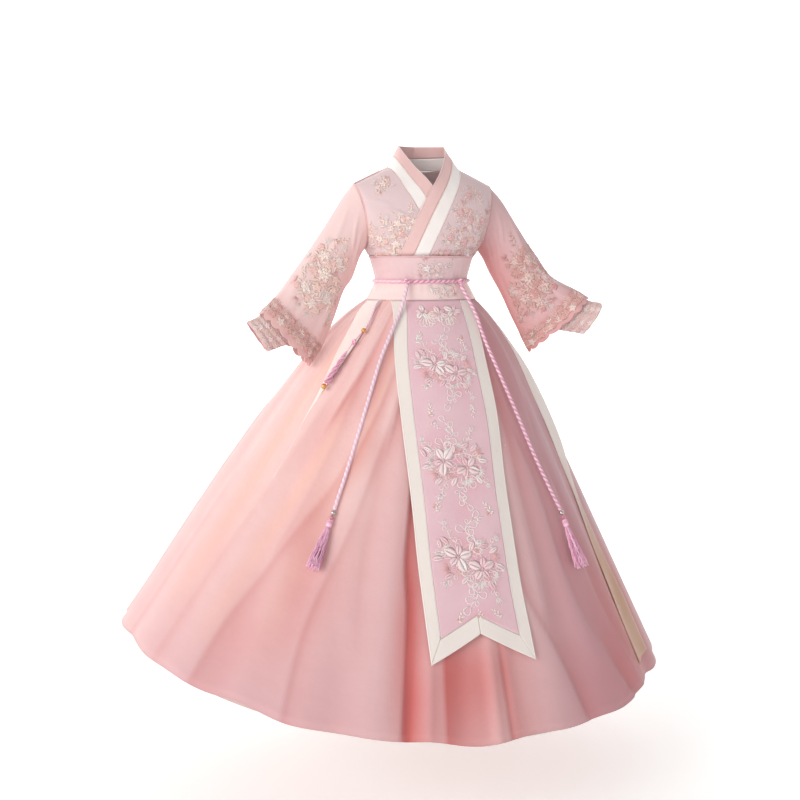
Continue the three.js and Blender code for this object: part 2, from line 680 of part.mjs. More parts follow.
// Free ends of the belt cord, from under the knots to the silver beads.
const BELT_END_RIGHT = [
  [-48.4, -70.4, -195.6],
  [-54, -79, -207],
  [-61, -88, -223],
  [-71, -96, -244],
  [-87, -111, -268],
  [-103, -124, -295],
  [-118, -135, -323],
  [-129, -144, -348],
  [-156, -165, -414],
  [-194, -195, -503],
  [-223, -217, -566],
];
const BELT_END_LEFT = [
  [53.4, -67.4, -195.6],
  [58, -76, -209],
  [65, -83, -225],
  [73, -97, -249],
  [76, -115, -275],
  [82, -131, -303],
  [102, -149, -359],
  [125, -162, -418],
  [149, -178, -484],
  [175, -193, -547],
  [195, -204, -592],
];
// Where the beads and tassels hang on below the cords.
const TASSEL_RIGHT = [
  [-223, -217, -566],
  [-230, -223, -580],
  [-249, -241, -619],
  [-268, -252, -652],
  [-284, -262, -682],
];
const TASSEL_LEFT = [
  [195, -204, -592],
  [198, -213, -609],
  [211, -235, -659],
  [222, -248, -695],
  [228, -256, -719],
];
const PENDANT_CORD = [
  [-93.7, -46.4, -224],
  [-102, -55, -230],
  [-111, -66, -243],
  [-121, -77, -259],
  [-128, -82, -267],
];
const PENDANT_DROP = [
  [-128, -82, -267],
  [-135, -86, -275],
  [-148, -89, -287],
  [-170, -96, -312],
  [-194, -104, -344],
  [-214, -108, -371],
  [-229, -111, -392],
];

const vectors = (rows) => rows.map(([x, y, z]) => new THREE.Vector3(x, y, z));

// A round tube through `points`, with a step about every two and a half diameters.
function tubeGeometry(points, diameter) {
  const curve = new THREE.CatmullRomCurve3(vectors(points), false, "centripetal");
  const circle = new THREE.Shape(
    ring(CORD_SIDES).map((turn) =>
      new THREE.Vector2(Math.cos(turn * DEG), Math.sin(turn * DEG)).multiplyScalar(diameter / 2),
    ),
  );
  const steps = Math.ceil(curve.getLength() / (CORD_STEP * diameter));
  return new THREE.ExtrudeGeometry(circle, { steps, extrudePath: curve });
}

// Turns a lathed piece, made downward from its own origin, along the line from one point to
// another, and adds it there.
function addHanging({ name, profile, colour, roughness, metalness }, from, to) {
  const lathe = new THREE.LatheGeometry(profile.map(([r, z]) => new THREE.Vector2(r, z)), 12);
  const mesh = add(name, lathe, colour, roughness, metalness);
  const direction = new THREE.Vector3().subVectors(to, from).normalize();
  mesh.quaternion.setFromUnitVectors(new THREE.Vector3(0, 1, 0), direction);
  mesh.position.copy(from);
}

// Profiles run from the upper pole down the lathe's own +Y.
const ball = (radius) =>
  span(0, 180, 8).map((turn) => [radius * Math.sin(turn * DEG), radius * (1 - Math.cos(turn * DEG))]);

const tasselProfile = (length, head, skirt) => [
  [0, 0],
  [head * 0.7, 0.5],
  [head, length * 0.06],
  [head * 0.8, length * 0.15],
  [skirt * 0.75, length * 0.35],
  [skirt * 0.95, length * 0.7],
  [skirt, length - 1],
  [0, length],
];

// Hangs the pieces in a row down the path `rows`, each `length` long, a seam gap apart.
function addChain(rows, pieces) {
  const curve = new THREE.CatmullRomCurve3(vectors(rows), false, "centripetal");
  const total = curve.getLength();
  let start = 2 * SEAM;
  for (const piece of pieces) {
    const from = curve.getPointAt(start / total);
    const to = curve.getPointAt(Math.min(1, (start + piece.length) / total));
    addHanging(piece, from, to);
    start += piece.length + SEAM;
  }
}

const bead = (name, diameter, colour, roughness = 0.4, metalness = 0) => ({
  name,
  length: diameter,
  profile: ball(diameter / 2),
  colour,
  roughness,
  metalness,
});

const tassel = (name, length, head, skirt) => ({
  name,
  length,
  profile: tasselProfile(length, head, skirt),
  colour: COLOURS.tassel,
});

function addBelt() {
  add("belt_cord", beltGeometry(), COLOURS.cord);
  for (const [side, phi] of Object.entries(KNOTS)) {
    const knot = add(`belt_knot_${side}`, new THREE.SphereGeometry(1, 12, 8), COLOURS.cord);
    knot.scale.set(KNOT_SIZE.wide, KNOT_SIZE.deep, KNOT_SIZE.tall);
    knot.rotation.z = phi * DEG;
    const outward = new THREE.Vector3(Math.sin(phi * DEG), -Math.cos(phi * DEG), 0);
    knot.position.copy(bandPoint(phi, CINCH)).addScaledVector(outward, KNOT_OUT);
  }
  const ends = {
    right: { cord: BELT_END_RIGHT, drop: TASSEL_RIGHT },
    left: { cord: BELT_END_LEFT, drop: TASSEL_LEFT },
  };
  for (const [side, end] of Object.entries(ends)) {
    add(`belt_end_${side}`, tubeGeometry(end.cord, CORD), COLOURS.cord);
    addChain(end.drop, [
      bead(`belt_bead_silver_${side}`, 9, COLOURS.silver, 0.3, 0.8),
      bead(`belt_bead_pink_${side}`, 7.5, COLOURS.cord),
      tassel(`belt_tassel_${side}`, 91, 4.5, 11),
    ]);
  }
}

function addPendant() {
  add("pendant_cord", tubeGeometry(PENDANT_CORD, THIN_CORD), COLOURS.cord);
  addChain(PENDANT_DROP, [
    bead("pendant_bead_pearl", 4.5, COLOURS.pearl),
    bead("pendant_bead_gold_top", 8.5, COLOURS.gold, 0.3, 0.7),
    tassel("pendant_knot", 33, 4, 5.5),
    tassel("pendant_tassel", 82, 4, 7),
    bead("pendant_bead_gold_low", 10, COLOURS.gold, 0.3, 0.7),
  ]);
}

// ---- The garment -------------------------------------------------------------------------

add("bodice_back", backGeometry(), COLOURS.bodice);
add("bodice_front_left", frontGeometry(1, FRONT_LAP), COLOURS.bodice);
add("bodice_front_right", frontGeometry(-1, 0), COLOURS.bodice);
add("collar_cream", collarGeometry(0, COLLAR_SPLIT), COLOURS.cream);
add("collar_pink", collarGeometry(COLLAR_SPLIT + 0.007, 1), COLOURS.collarPink);
add("waistband_upper", bandGeometry(BAND_TOP, CINCH + CINCH_GAP, 2), COLOURS.band);
add("waistband_lower", bandGeometry(CINCH - CINCH_GAP, BAND_BOTTOM, 1), COLOURS.band);
add("sleeve_right", sleeveGeometry(SLEEVE_RIGHT_ROWS, -1), COLOURS.sleeve);
add("sleeve_left", sleeveGeometry(SLEEVE_LEFT_ROWS, 1), COLOURS.sleeve);
add("undersleeve_right", cuffGeometry(CUFF_RIGHT_ROWS, SLEEVE_RIGHT_ROWS, -1), COLOURS.cuff);
add("undersleeve_left", cuffGeometry(CUFF_LEFT_ROWS, SLEEVE_LEFT_ROWS, 1), COLOURS.cuff);
add("skirt_outer", skirtGeometry(), COLOURS.skirt);
add("skirt_under", underskirtGeometry(), COLOURS.underskirt);
add("panel_centre", panelCentreGeometry(), COLOURS.panel);
add("panel_border_left", sideBorderGeometry(1), COLOURS.cream);
add("panel_border_right", sideBorderGeometry(-1), COLOURS.cream);
add("panel_tail_left", tailBorderGeometry(1), COLOURS.cream);
add("panel_tail_right", tailBorderGeometry(-1), COLOURS.cream);
add("side_ribbon_right", ribbonGeometry(RIBBON_RIGHT_ROWS), COLOURS.ribbon);
add("side_ribbon_left", ribbonGeometry(RIBBON_LEFT_ROWS), COLOURS.ribbon);
addBelt();
addPendant();

export default garment;
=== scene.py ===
"""A child's crossed-collar hanfu dress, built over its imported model.

Metres, +Z up. The front faces -Y and the wearer's left is +X. The origin is the middle of the
shoulder line. Every form is worked out in millimetres, and turned into metres as its mesh is
made.
"""

from __future__ import annotations

import json
import logging
import math
from collections.abc import Callable, Sequence
from dataclasses import dataclass, field
from enum import Enum
from functools import cache

import bpy
import numpy as np
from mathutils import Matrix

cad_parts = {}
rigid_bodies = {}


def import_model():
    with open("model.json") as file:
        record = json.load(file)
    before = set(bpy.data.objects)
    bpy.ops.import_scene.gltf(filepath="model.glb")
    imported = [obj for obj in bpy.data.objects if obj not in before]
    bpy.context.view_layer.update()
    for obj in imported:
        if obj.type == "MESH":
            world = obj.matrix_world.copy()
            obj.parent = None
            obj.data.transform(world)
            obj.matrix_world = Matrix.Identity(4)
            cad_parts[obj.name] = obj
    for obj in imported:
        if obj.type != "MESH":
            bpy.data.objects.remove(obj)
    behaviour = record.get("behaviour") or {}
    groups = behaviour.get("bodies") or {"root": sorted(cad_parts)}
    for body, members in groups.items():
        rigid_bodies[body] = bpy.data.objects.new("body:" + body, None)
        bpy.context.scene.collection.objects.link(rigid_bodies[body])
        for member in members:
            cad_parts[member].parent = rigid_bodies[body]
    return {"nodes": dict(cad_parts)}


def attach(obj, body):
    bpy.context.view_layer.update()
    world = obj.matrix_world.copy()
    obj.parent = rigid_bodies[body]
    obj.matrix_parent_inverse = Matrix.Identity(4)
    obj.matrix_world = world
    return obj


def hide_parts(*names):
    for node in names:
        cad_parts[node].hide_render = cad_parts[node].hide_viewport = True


for _start in list(bpy.data.objects):
    bpy.data.objects.remove(_start, do_unlink=True)
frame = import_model()

LOG = logging.getLogger("hanfu")
Array = np.ndarray
Amount = np.ndarray | float
Surface = Callable[[Array, Array], Array]
Line = Sequence[Sequence[float]]
Colour = tuple[int, int, int]
Socket = bpy.types.NodeSocket
Place = Callable[[Array, Array], tuple[Array, Array]]
Edge = Callable[[Array], Array]

MM = 0.001
WALL = 1.2
SEAM = 0.3
BODY = "root"


# ---- Numbers ----


def share(value: Amount, low: float, high: float) -> Array:
    """How far a value is on its way from low to high, held between 0 and 1."""
    return np.clip((np.asarray(value, float) - low) / (high - low), 0.0, 1.0)


def ease(value: Array) -> Array:
    """A smooth step: three squares less two cubes of the value."""
    return value * value * (3.0 - 2.0 * value)


def mix(low: Amount, high: Amount, part: Amount) -> Array:
    """The value at the share `part` from low to high."""
    return low + (np.asarray(high, float) - low) * part


def dome(distance: Array, wide: Amount) -> Array:
    """A bell over a distance: e to the minus of its square over the width's square."""
    return np.exp(-((distance / wide) ** 2))


class Track:
    """Named columns read along a smooth curve through the rows of a table."""

    def __init__(self, rows: Line) -> None:
        """Keeps the places, the values and the slope at each row.

        Args:
            rows: Each row is its place, then its values.
        """
        table = np.array(rows, float)
        self.at = table[:, 0]
        self.values = table[:, 1:]
        last = len(table) - 1
        after = np.minimum(np.arange(last + 1) + 1, last)
        before = np.maximum(np.arange(last + 1) - 1, 0)
        run = (self.at[after] - self.at[before])[:, None]
        self.slope = (self.values[after] - self.values[before]) / run

    def __call__(self, at: Amount) -> list[Array]:
        """Reads every column: a Hermite cubic between two rows with the rows' slopes.

        Args:
            at: The places to read at.

        Returns:
            One array a column.
        """
        at = np.clip(np.asarray(at, float), self.at[0], self.at[-1])
        high = np.clip(np.searchsorted(self.at, at, side="left"), 1, len(self.at) - 1)
        low = high - 1
        run = self.at[high] - self.at[low]
        f = ((at - self.at[low]) / run)[..., None]
        rise = run[..., None]
        start = (1 + 2 * f) * (1 - f) ** 2 * self.values[low] + f * (1 - f) ** 2 * rise * self.slope[low]
        end = f**2 * (3 - 2 * f) * self.values[high] - f**2 * (1 - f) * rise * self.slope[high]
        both = start + end
        return [both[..., i] for i in range(both.shape[-1])]


def points(*parts: Array) -> Array:
    """Stacks x, y and z arrays into points."""
    return np.stack(np.broadcast_arrays(*parts), axis=-1)


def unit(vectors: Array) -> Array:
    """The vectors at length one."""
    return vectors / np.maximum(np.linalg.norm(vectors, axis=-1, keepdims=True), 1e-12)


def rays(turns: Array) -> Array:
    """Steps of length one at angles in radians: the cosine across and the sine down."""
    return np.stack([np.cos(turns), np.sin(turns)], -1)


def quarter(steps: Array) -> Array:
    """The same steps turned a quarter."""
    return np.stack([-steps[..., 1], steps[..., 0]], -1)


def lengths(path: Array) -> Array:
    """How far along a path each of its points is."""
    return np.concatenate([[0.0], np.cumsum(np.linalg.norm(np.diff(path, axis=0), axis=1))])


def along(path: Array, count: int) -> Array:
    """Even points along a smooth curve through the given ones, by chord length."""
    fine_to = lengths(path)[-1]
    track = Track(np.column_stack([lengths(path), path]))
    fine = np.stack(track(np.linspace(0, fine_to, 40 * len(path))), -1)
    run = lengths(fine)
    even = np.linspace(0, run[-1], count)
    return np.stack([np.interp(even, run, fine[:, i]) for i in range(3)], -1)


def off_turn(phi: Array, middle: Amount) -> Array:
    """How many degrees phi is past a middle, the short way round."""
    return (phi - middle + 180) % 360 - 180


# ---- Meshes ----


@dataclass
class Build:
    """What a mesh is made from: points, faces, the cloth's own map and values on its points."""

    verts: Array
    faces: Array
    uv: Array
    values: dict[str, Array] = field(default_factory=dict)
    crisp: Array | None = None


def face_out(build: Build) -> Build:
    """Turns a closed build's faces round where its signed volume is negative."""
    corner = build.verts[build.faces]
    first = np.einsum("ij,ij->i", corner[:, 0], np.cross(corner[:, 1], corner[:, 2]))
    second = np.einsum("ij,ij->i", corner[:, 0], np.cross(corner[:, 2], corner[:, 3]))
    if float((first + second).sum()) < 0:
        build.faces = build.faces[:, ::-1]
        build.uv = build.uv.reshape(-1, 4, 2)[:, ::-1].reshape(-1, 2)
    return build


def merge(builds: Sequence[Build]) -> Build:
    """Joins several builds of quads into one."""
    starts = np.cumsum([0, *[len(b.verts) for b in builds[:-1]]])
    labels = {label for b in builds for label in b.values}
    return Build(
        np.concatenate([b.verts for b in builds]),
        np.concatenate([b.faces + start for b, start in zip(builds, starts)]),
        np.concatenate([b.uv for b in builds]),
        {n: np.concatenate([b.values.get(n, np.zeros(len(b.verts))) for b in builds]) for n in labels},
    )


def cloth_normals(grid: Array, closed: bool, outward: float) -> Array:
    """Normals of a grid of points: the run across it crossed with the run down it."""
    if closed:
        across = np.roll(grid, -1, axis=1) - np.roll(grid, 1, axis=1)
    else:
        across = np.gradient(grid, axis=1)
    down = np.gradient(grid, axis=0)
    return unit(np.cross(across, down)) * outward


def cloth_map(grid: Array, closed: bool) -> Array:
    """A map in metres: the lengths along the middle row and along each column."""
    wide = np.concatenate([grid, grid[:, :1]], axis=1) if closed else grid
    steps = np.linalg.norm(np.diff(wide, axis=1), axis=-1).mean(axis=0)
    across = np.concatenate([[0.0], np.cumsum(steps)])
    drops = np.linalg.norm(np.diff(wide, axis=0), axis=-1).mean(axis=1)
    down = np.concatenate([[0.0], np.cumsum(drops)])
    return np.stack(np.meshgrid(across, down), axis=-1)


def quads(grid: Array) -> Array:
    """The corners of every cell of a grid of numbers, one cell a row."""
    return np.stack([grid[:-1, :-1], grid[:-1, 1:], grid[1:, 1:], grid[1:, :-1]], -1).reshape(-1, 4)


def caps(wrap: Array, pole: int, inward: bool) -> list[Array]:
    """Quads that close a tube's two ends.

    Args:
        wrap: The tube's rings of point numbers, each with its first at its end again.
        pole: The number of the near pole; the far one comes next.
        inward: Whether the near fan is turned, and not the far one.

    Returns:
        The near fan and the far one.
    """
    fans = []
    for number, row, turned in ((pole, wrap[0], inward), (pole + 1, wrap[-1], not inward)):
        fan = np.stack([np.full(len(row) // 2, number), row[2::2], row[1:-1:2], row[:-2:2]], -1)
        fans.append(fan[:, ::-1] if turned else fan)
    return fans


def shell(outer: Array, inner: Array, closed: bool = False, values: dict[str, Array] | None = None) -> Build:
    """A closed cloth wall between two grids of points.

    Args:
        outer: Rows by columns of outer points.
        inner: The same for the inner face.
        closed: Whether the last column joins the first.
        values: Values for each point of a face.

    Returns:
        The wall with its rims.
    """
    rows, columns = outer.shape[:2]
    grid = np.arange(rows * columns).reshape(rows, columns)
    if closed:
        grid = np.concatenate([grid, grid[:, :1]], axis=1)
    back = grid + rows * columns
    chart = cloth_map(outer, closed)
    marks = np.arange(chart.shape[0] * chart.shape[1]).reshape(chart.shape[:2])
    mirrored = [1, 0, 3, 2]
    faces = [quads(grid), quads(back)[:, mirrored]]
    charts = [quads(marks), quads(marks)[:, mirrored]]
    crisp_from = 2 * len(faces[0])
    rims = [(0, True), (-1, False)]
    edges = [(grid[i], back[i], marks[i], turned) for i, turned in rims]
    if not closed:
        edges += [(grid[:, i], back[:, i], marks[:, i], not turned) for i, turned in rims]
    for edge, edge_in, line, turned in edges:
        near, far = slice(None, -1), slice(1, None)
        if turned:
            near, far = far, near
        faces.append(np.stack([edge[near], edge[far], edge_in[far], edge_in[near]], -1))
        charts.append(np.stack([line[near], line[far], line[far], line[near]], -1))
    cells = np.concatenate(faces)
    uv = chart.reshape(-1, 2)[np.concatenate(charts)].reshape(-1, 2)
    verts = np.concatenate([outer.reshape(-1, 3), inner.reshape(-1, 3)])
    doubled = {n: np.tile(v.ravel(), 2) for n, v in (values or {}).items()}
    return face_out(Build(verts, cells, uv, doubled, np.arange(len(cells)) >= crisp_from))


def cloth(
    surface: Surface,
    us: Array,
    vs: Array,
    closed: bool = False,
    outward: float = 1.0,
    lift: Surface | float = 0.0,
    relief: Surface | float = 0.0,
    wall: float = WALL,
    values: dict[str, Surface] | None = None,
) -> Build:
    """A cloth wall on surface(u, v).

    The outer face lies lift(u, v) plus relief(u, v) along the smooth form's normal, and the
    inner face a wall's thickness behind it, along the creased face's own normal.

    Args:
        surface: The smooth form.
        us: The columns.
        vs: The rows.
        closed: Whether the columns join round.
        outward: 1 or -1, which side of the form faces out.
        lift: How far the cloth lies out from the form.
        relief: Its creases.
        wall: Its thickness.
        values: Named values for the material, as functions of u and v.

    Returns:
        The closed wall.
    """
    u, v = np.meshgrid(us, vs)
    form = surface(u, v)
    out = cloth_normals(form, closed, outward)
    heights = sum(h(u, v) if callable(h) else np.full(u.shape, h) for h in (lift, relief))
    face = form + out * heights[..., None]
    inner = face - cloth_normals(face, closed, outward) * wall
    held = {n: f(u, v) for n, f in (values or {}).items()}
    return shell(face, inner, closed, held)


def ridges(x: Array, y: Array, rows: Line) -> Array:
    """The height of listed creases: a bell across each line, fading to its two ends.

    Args:
        x: First coordinate of the points.
        y: Second coordinate, in the same units.
        rows: Each is x and y of one end, x and y of the other, the width and the height.

    Returns:
        The summed heights.
    """
    total = np.zeros(np.broadcast(x, y).shape)
    for x0, y0, x1, y1, wide, high in rows:
        run = np.array([x1 - x0, y1 - y0])
        length = float(np.hypot(*run))
        along = ((x - x0) * run[0] + (y - y0) * run[1]) / length**2
        across = ((x - x0) * run[1] - (y - y0) * run[0]) / length
        fade = ease(share(along, 0.0, 0.3)) * ease(share(1.0 - along, 0.0, 0.3))
        total += high * fade * dome(across, wide)
    return total


def tube(
    path: Array,
    radius: Amount,
    sides: int,
    lobes: int = 0,
    pitch: float = 1.0,
    dent: float = 0.0,
    ring: bool = False,
) -> Build:
    """A closed tube along a path, with lobes that twist round it like a cord's strands.

    The radius at an angle is dented by `dent` between the lobes, and the lobes turn once a pitch.

    Args:
        path: The ring centres.
        radius: One radius, or one for each ring.
        sides: How many sides a ring has, an even number.
        lobes: How many strands show.
        pitch: The length of one turn.
        dent: How deep the grooves between strands are, as a share of the radius.
        ring: Whether the path's end joins its start.

    Returns:
        The tube with its two ends closed, and `strand` values that tell the strands apart.
    """
    ahead = np.roll(path, -1, axis=0) - np.roll(path, 1, axis=0) if ring else np.gradient(path, axis=0)
    ahead = unit(ahead)
    steep = np.abs(ahead[:, 2]).max() > 0.97
    side = unit(np.cross(ahead, np.array([0.0, 1.0, 0.1] if steep else [0.0, 0.0, 1.0])))
    other = np.cross(side, ahead)
    run = lengths(path)
    if ring:
        whole = run[-1] + float(np.linalg.norm(path[0] - path[-1]))
        pitch = whole / max(1, round(whole / pitch))
    turn = np.linspace(0, 2 * math.pi, sides, endpoint=False)
    phase = turn[None, :] * lobes - 2 * math.pi * run[:, None] / pitch
    size = np.broadcast_to(np.asarray(radius, float), run.shape)[:, None] * np.ones(sides)
    if lobes:
        size = size * (1 - dent * (1 - np.abs(np.cos(phase / 2)) ** 0.8))
    arm = side[:, None] * np.cos(turn)[None, :, None] + other[:, None] * np.sin(turn)[None, :, None]
    verts = (path[:, None] + arm * size[..., None]).reshape(-1, 3)
    strand = (np.sin(phase) > 0).astype(float).ravel()
    wrap = np.arange(len(path) * sides).reshape(len(path), sides)
    wrap = np.concatenate([wrap, wrap[:, :1]], axis=1)
    marks = np.arange(len(path) * (sides + 1)).reshape(len(path), sides + 1)
    if ring:
        wrap, marks = (np.concatenate([rows, rows[:1]], axis=0) for rows in (wrap, marks))
    girth = np.linspace(0, 1, sides + 1) * 2 * math.pi * float(np.max(size))
    uv = np.stack(np.meshgrid(girth, run), -1).reshape(-1, 2)[quads(marks)].reshape(-1, 2)
    faces = quads(wrap)
    if not ring:
        ends = np.concatenate(caps(wrap, len(verts), False))
        faces = np.concatenate([faces, ends])
        uv = np.concatenate([uv, np.zeros((ends.size, 2))])
        verts = np.concatenate([verts, path[:1], path[-1:]])
        strand = np.append(strand, [0.0, 0.0])
    return face_out(Build(verts, faces, uv, {"strand": strand}))


def spun(profile: Array, start: Array, end: Array, sides: int) -> Build:
    """A turned piece between two points.

    Args:
        profile: Rows of radius and height along the axis; both ends have radius 0.
        start: Where height 0 is.
        end: Where the profile's last height is.
        sides: How many sides round.

    Returns:
        The closed piece.
    """
    axis = unit(np.asarray(end, float) - start)
    path = np.asarray(start, float) + axis * (profile[:, 1:2] / profile[-1, 1]) * np.linalg.norm(end - start)
    radii = np.maximum(profile[:, 0], 1e-5)
    return tube(path, radii, sides)


# ---- Finishes ----


def linear(colour: Colour) -> tuple[float, float, float, float]:
    """A colour of 0 to 255 as the light it stands for."""
    part = [c / 255 for c in colour]
    return (*[p / 12.92 if p < 0.04045 else ((p + 0.055) / 1.055) ** 2.4 for p in part], 1.0)


class Sketch:
    """A node tree with short ways to add and join nodes."""

    def __init__(self, tree: bpy.types.NodeTree) -> None:
        """Keeps the tree."""
        self.tree = tree

    def join(self, node: bpy.types.Node, inputs: dict[str | int, object]) -> None:
        """Fills a node's inputs, each from an output socket or with a value of its own."""
        for label, value in inputs.items():
            if isinstance(value, Socket):
                self.tree.links.new(value, node.inputs[label])
            else:
                node.inputs[label].default_value = value

    def add(self, kind: str, inputs: dict[str | int, object] | None = None, **settings: object) -> bpy.types.Node:
        """Adds a node, sets its options, and fills its inputs.

        Args:
            kind: The node's type.
            inputs: Values or output sockets for its inputs.
            **settings: The node's own options.

        Returns:
            The node.
        """
        node = self.tree.nodes.new(kind)
        for label, value in settings.items():
            setattr(node, label, value)
        self.join(node, inputs or {})
        return node

    def scaled(self, value: object, times: object, plus: object = 0.0) -> Socket:
        """A value times a second one, plus a third."""
        return self.add("ShaderNodeMath", {0: value, 1: times, 2: plus}, operation="MULTIPLY_ADD").outputs[0]

    def blend(self, part: object, first: object, second: object) -> Socket:
        """Mixes two colours."""
        return self.add("ShaderNodeMix", {0: part, 6: first, 7: second}, data_type="RGBA").outputs[2]

    def noise(self, place: object, scale: float, detail: float = 2.0) -> Socket:
        """A soft uneven value."""
        return self.add("ShaderNodeTexNoise", {"Vector": place, "Scale": scale, "Detail": detail}).outputs["Fac"]

    def bump(self, height: object, strength: float, distance: float, **more: object) -> Socket:
        """A normal that a height bends."""
        inputs = {"Height": height, "Strength": strength, "Distance": distance, **more}
        return self.add("ShaderNodeBump", inputs).outputs[0]

    def held(self, name: str) -> Socket:
        """The values of one name that the mesh's points hold."""
        return self.add("ShaderNodeAttribute", attribute_name=name).outputs["Fac"]

    def chart(self) -> Socket:
        """The cloth's own map."""
        return self.add("ShaderNodeUVMap", uv_map="cloth").outputs[0]


def new_group(name: str, **inputs: float) -> tuple[Sketch, bpy.types.Node, bpy.types.Node]:
    """Starts a shader node group that turns a Vector into a Height and a Tone.

    Args:
        name: The group's name.
        **inputs: Its number inputs, and the value each has at first.

    Returns:
        The sketch, the node that gives the inputs and the node that takes the outputs.
    """
    tree = bpy.data.node_groups.new(name, "ShaderNodeTree")
    tree.interface.new_socket("Vector", in_out="INPUT", socket_type="NodeSocketVector")
    for label, first in inputs.items():
        tree.interface.new_socket(label, in_out="INPUT", socket_type="NodeSocketFloat").default_value = first
    for label in ("Height", "Tone"):
        tree.interface.new_socket(label, in_out="OUTPUT", socket_type="NodeSocketFloat")
    sketch = Sketch(tree)
    return sketch, sketch.add("NodeGroupInput"), sketch.add("NodeGroupOutput")


@cache
def plain_weave() -> bpy.types.NodeTree:
    """Plain weave: warp and weft waves, with a slow change of tone and a few slubs."""
    s, source, sink = new_group("plain_weave", Threads=1500, Slub=0.3)
    place = source.outputs["Vector"]
    waves_in = {"Vector": place, "Scale": source.outputs["Threads"]}
    warp, weft = (s.add("ShaderNodeTexWave", waves_in, bands_direction=way).outputs["Fac"] for way in "XY")
    slub, cloud = s.noise(place, 180.0), s.noise(place, 22.0, 3.0)
    height = s.scaled(slub, source.outputs["Slub"], s.scaled(warp, weft))
    s.join(sink, {"Height": height, "Tone": s.scaled(cloud, 0.7, s.scaled(slub, 0.3))})
    return s.tree


@cache
def laid_threads() -> bpy.types.NodeTree:
    """Laid threads: fine ridges along one way, a little uneven."""
    s, source, sink = new_group("laid_threads", Threads=1200)
    place = source.outputs["Vector"]
    waves_in = {"Vector": place, "Scale": source.outputs["Threads"], "Distortion": 1.2}
    wave = s.add("ShaderNodeTexWave", waves_in, bands_direction="Y")
    s.join(sink, {"Height": wave.outputs["Fac"], "Tone": s.noise(place, 160.0)})
    return s.tree


@dataclass(frozen=True)
class Finish:
    """A finish, with a material that its first piece makes and the others share."""

    name: str

    @cache
    def material(self) -> bpy.types.Material:
        """Makes the material, once for each finish.

        Returns:
            The material, with one Principled shader.
        """
        made = bpy.data.materials.new(self.name)
        made.use_nodes = True
        made.node_tree.nodes.clear()
        sketch = Sketch(made.node_tree)
        shader = sketch.add("ShaderNodeBsdfPrincipled")
        sketch.add("ShaderNodeOutputMaterial", {"Surface": shader.outputs[0]})
        self.dress(sketch, shader)
        return made

    def dress(self, s: Sketch, shader: bpy.types.Node) -> None:
        """Joins this finish's own nodes to the shader; a plain finish has none."""


@dataclass(frozen=True)
class ClothFinish(Finish):
    """Woven cloth: two tones of one colour, a weave, sheen, painted peach light and mauve shade, and a deeper tone
    where cloth gathers and where shade is painted.
    """

    colour: Colour
    other: Colour
    deep: Colour | None = None
    cool: Colour | None = None
    warm: Colour | None = None
    threads: float = 1500.0
    bump: float = 0.12
    roughness: float = 0.7
    sheen: float = 0.25
    wrinkle: float = 0.0

    def dress(self, s: Sketch, shader: bpy.types.Node) -> None:
        """Weave and tone from the cloth's map, and tints by the peach highlight, painted shade and deep values.

        Args:
            s: The material's sketch.
            shader: Its shader.
        """
        chart = s.chart()
        weave = s.add("ShaderNodeGroup", {"Vector": chart, "Threads": self.threads}, node_tree=plain_weave())
        tone = weave.outputs["Tone"]
        colour = s.blend(tone, linear(self.colour), linear(self.other))
        for name, dye_and_shade in (("warm", self.warm), ("cool", self.cool), ("deep", self.deep)):
            if dye_and_shade:
                colour = s.blend(s.held(name), colour, linear(dye_and_shade))
        normal = s.bump(weave.outputs["Height"], self.bump, 0.0006)
        if self.wrinkle:
            normal = s.bump(s.noise(chart, 28.0, 3.0), self.wrinkle, 0.012, Normal=normal)
        look = {
            "Base Color": colour,
            "Roughness": s.scaled(tone, 0.16, self.roughness - 0.08),
            "Normal": normal,
            "Sheen Weight": self.sheen,
            "Sheen Roughness": 0.45,
            "Specular IOR Level": 0.3,
        }
        s.join(shader, look)


@dataclass(frozen=True)
class ThreadFinish(Finish):
    """Embroidery thread: cream, gold and pink by the `tone` values, laid as fine ridges."""

    tones: tuple[Colour, Colour, Colour]
    roughness: float = 0.45

    def dress(self, s: Sketch, shader: bpy.types.Node) -> None:
        """Three tones on a ramp, a little darker and rougher between the threads, the darker part painted shade.

        Args:
            s: The material's sketch.
            shader: Its shader.
        """
        inputs = {"Vector": s.chart(), "Threads": 1300.0}
        stitch = s.add("ShaderNodeGroup", inputs, node_tree=laid_threads())
        height = stitch.outputs["Height"]
        ramp = s.add("ShaderNodeValToRGB", {"Fac": s.held("tone")})
        stops = ramp.color_ramp.elements
        stops[0].color, stops[1].color = linear(self.tones[0]), linear(self.tones[2])
        stops.new(0.5).color = linear(self.tones[1])
        look = {
            # Painted shade: a little dark brown mixed in by the laid threads' wave.
            "Base Color": s.blend(s.scaled(height, 0.05), ramp.outputs[0], (0.5, 0.3, 0.26, 1.0)),
            "Roughness": s.scaled(stitch.outputs["Tone"], 0.2, self.roughness - 0.1),
            "Normal": s.bump(height, 0.35, 0.0004),
            "Sheen Weight": 0.3,
        }
        s.join(shader, look)


@dataclass(frozen=True)
class StrandFinish(Finish):
    """Twisted or hanging threads in two colours, told apart by the `strand` values."""

    first: Colour
    second: Colour

    def dress(self, s: Sketch, shader: bpy.types.Node) -> None:
        """The two colours, with fibres that show in the colour, the roughness and the normal.

        Args:
            s: The material's sketch.
            shader: Its shader.
        """
        fibre = s.noise(s.chart(), 900.0)
        colour = s.blend(s.held("strand"), linear(self.first), linear(self.second))
        look = {
            "Base Color": s.blend(s.scaled(fibre, 0.12), colour, (0.55, 0.22, 0.32, 1.0)),
            "Roughness": s.scaled(fibre, 0.2, 0.4),
            "Normal": s.bump(fibre, 0.4, 0.0005),
            "Sheen Weight": 0.35,
        }
        s.join(shader, look)


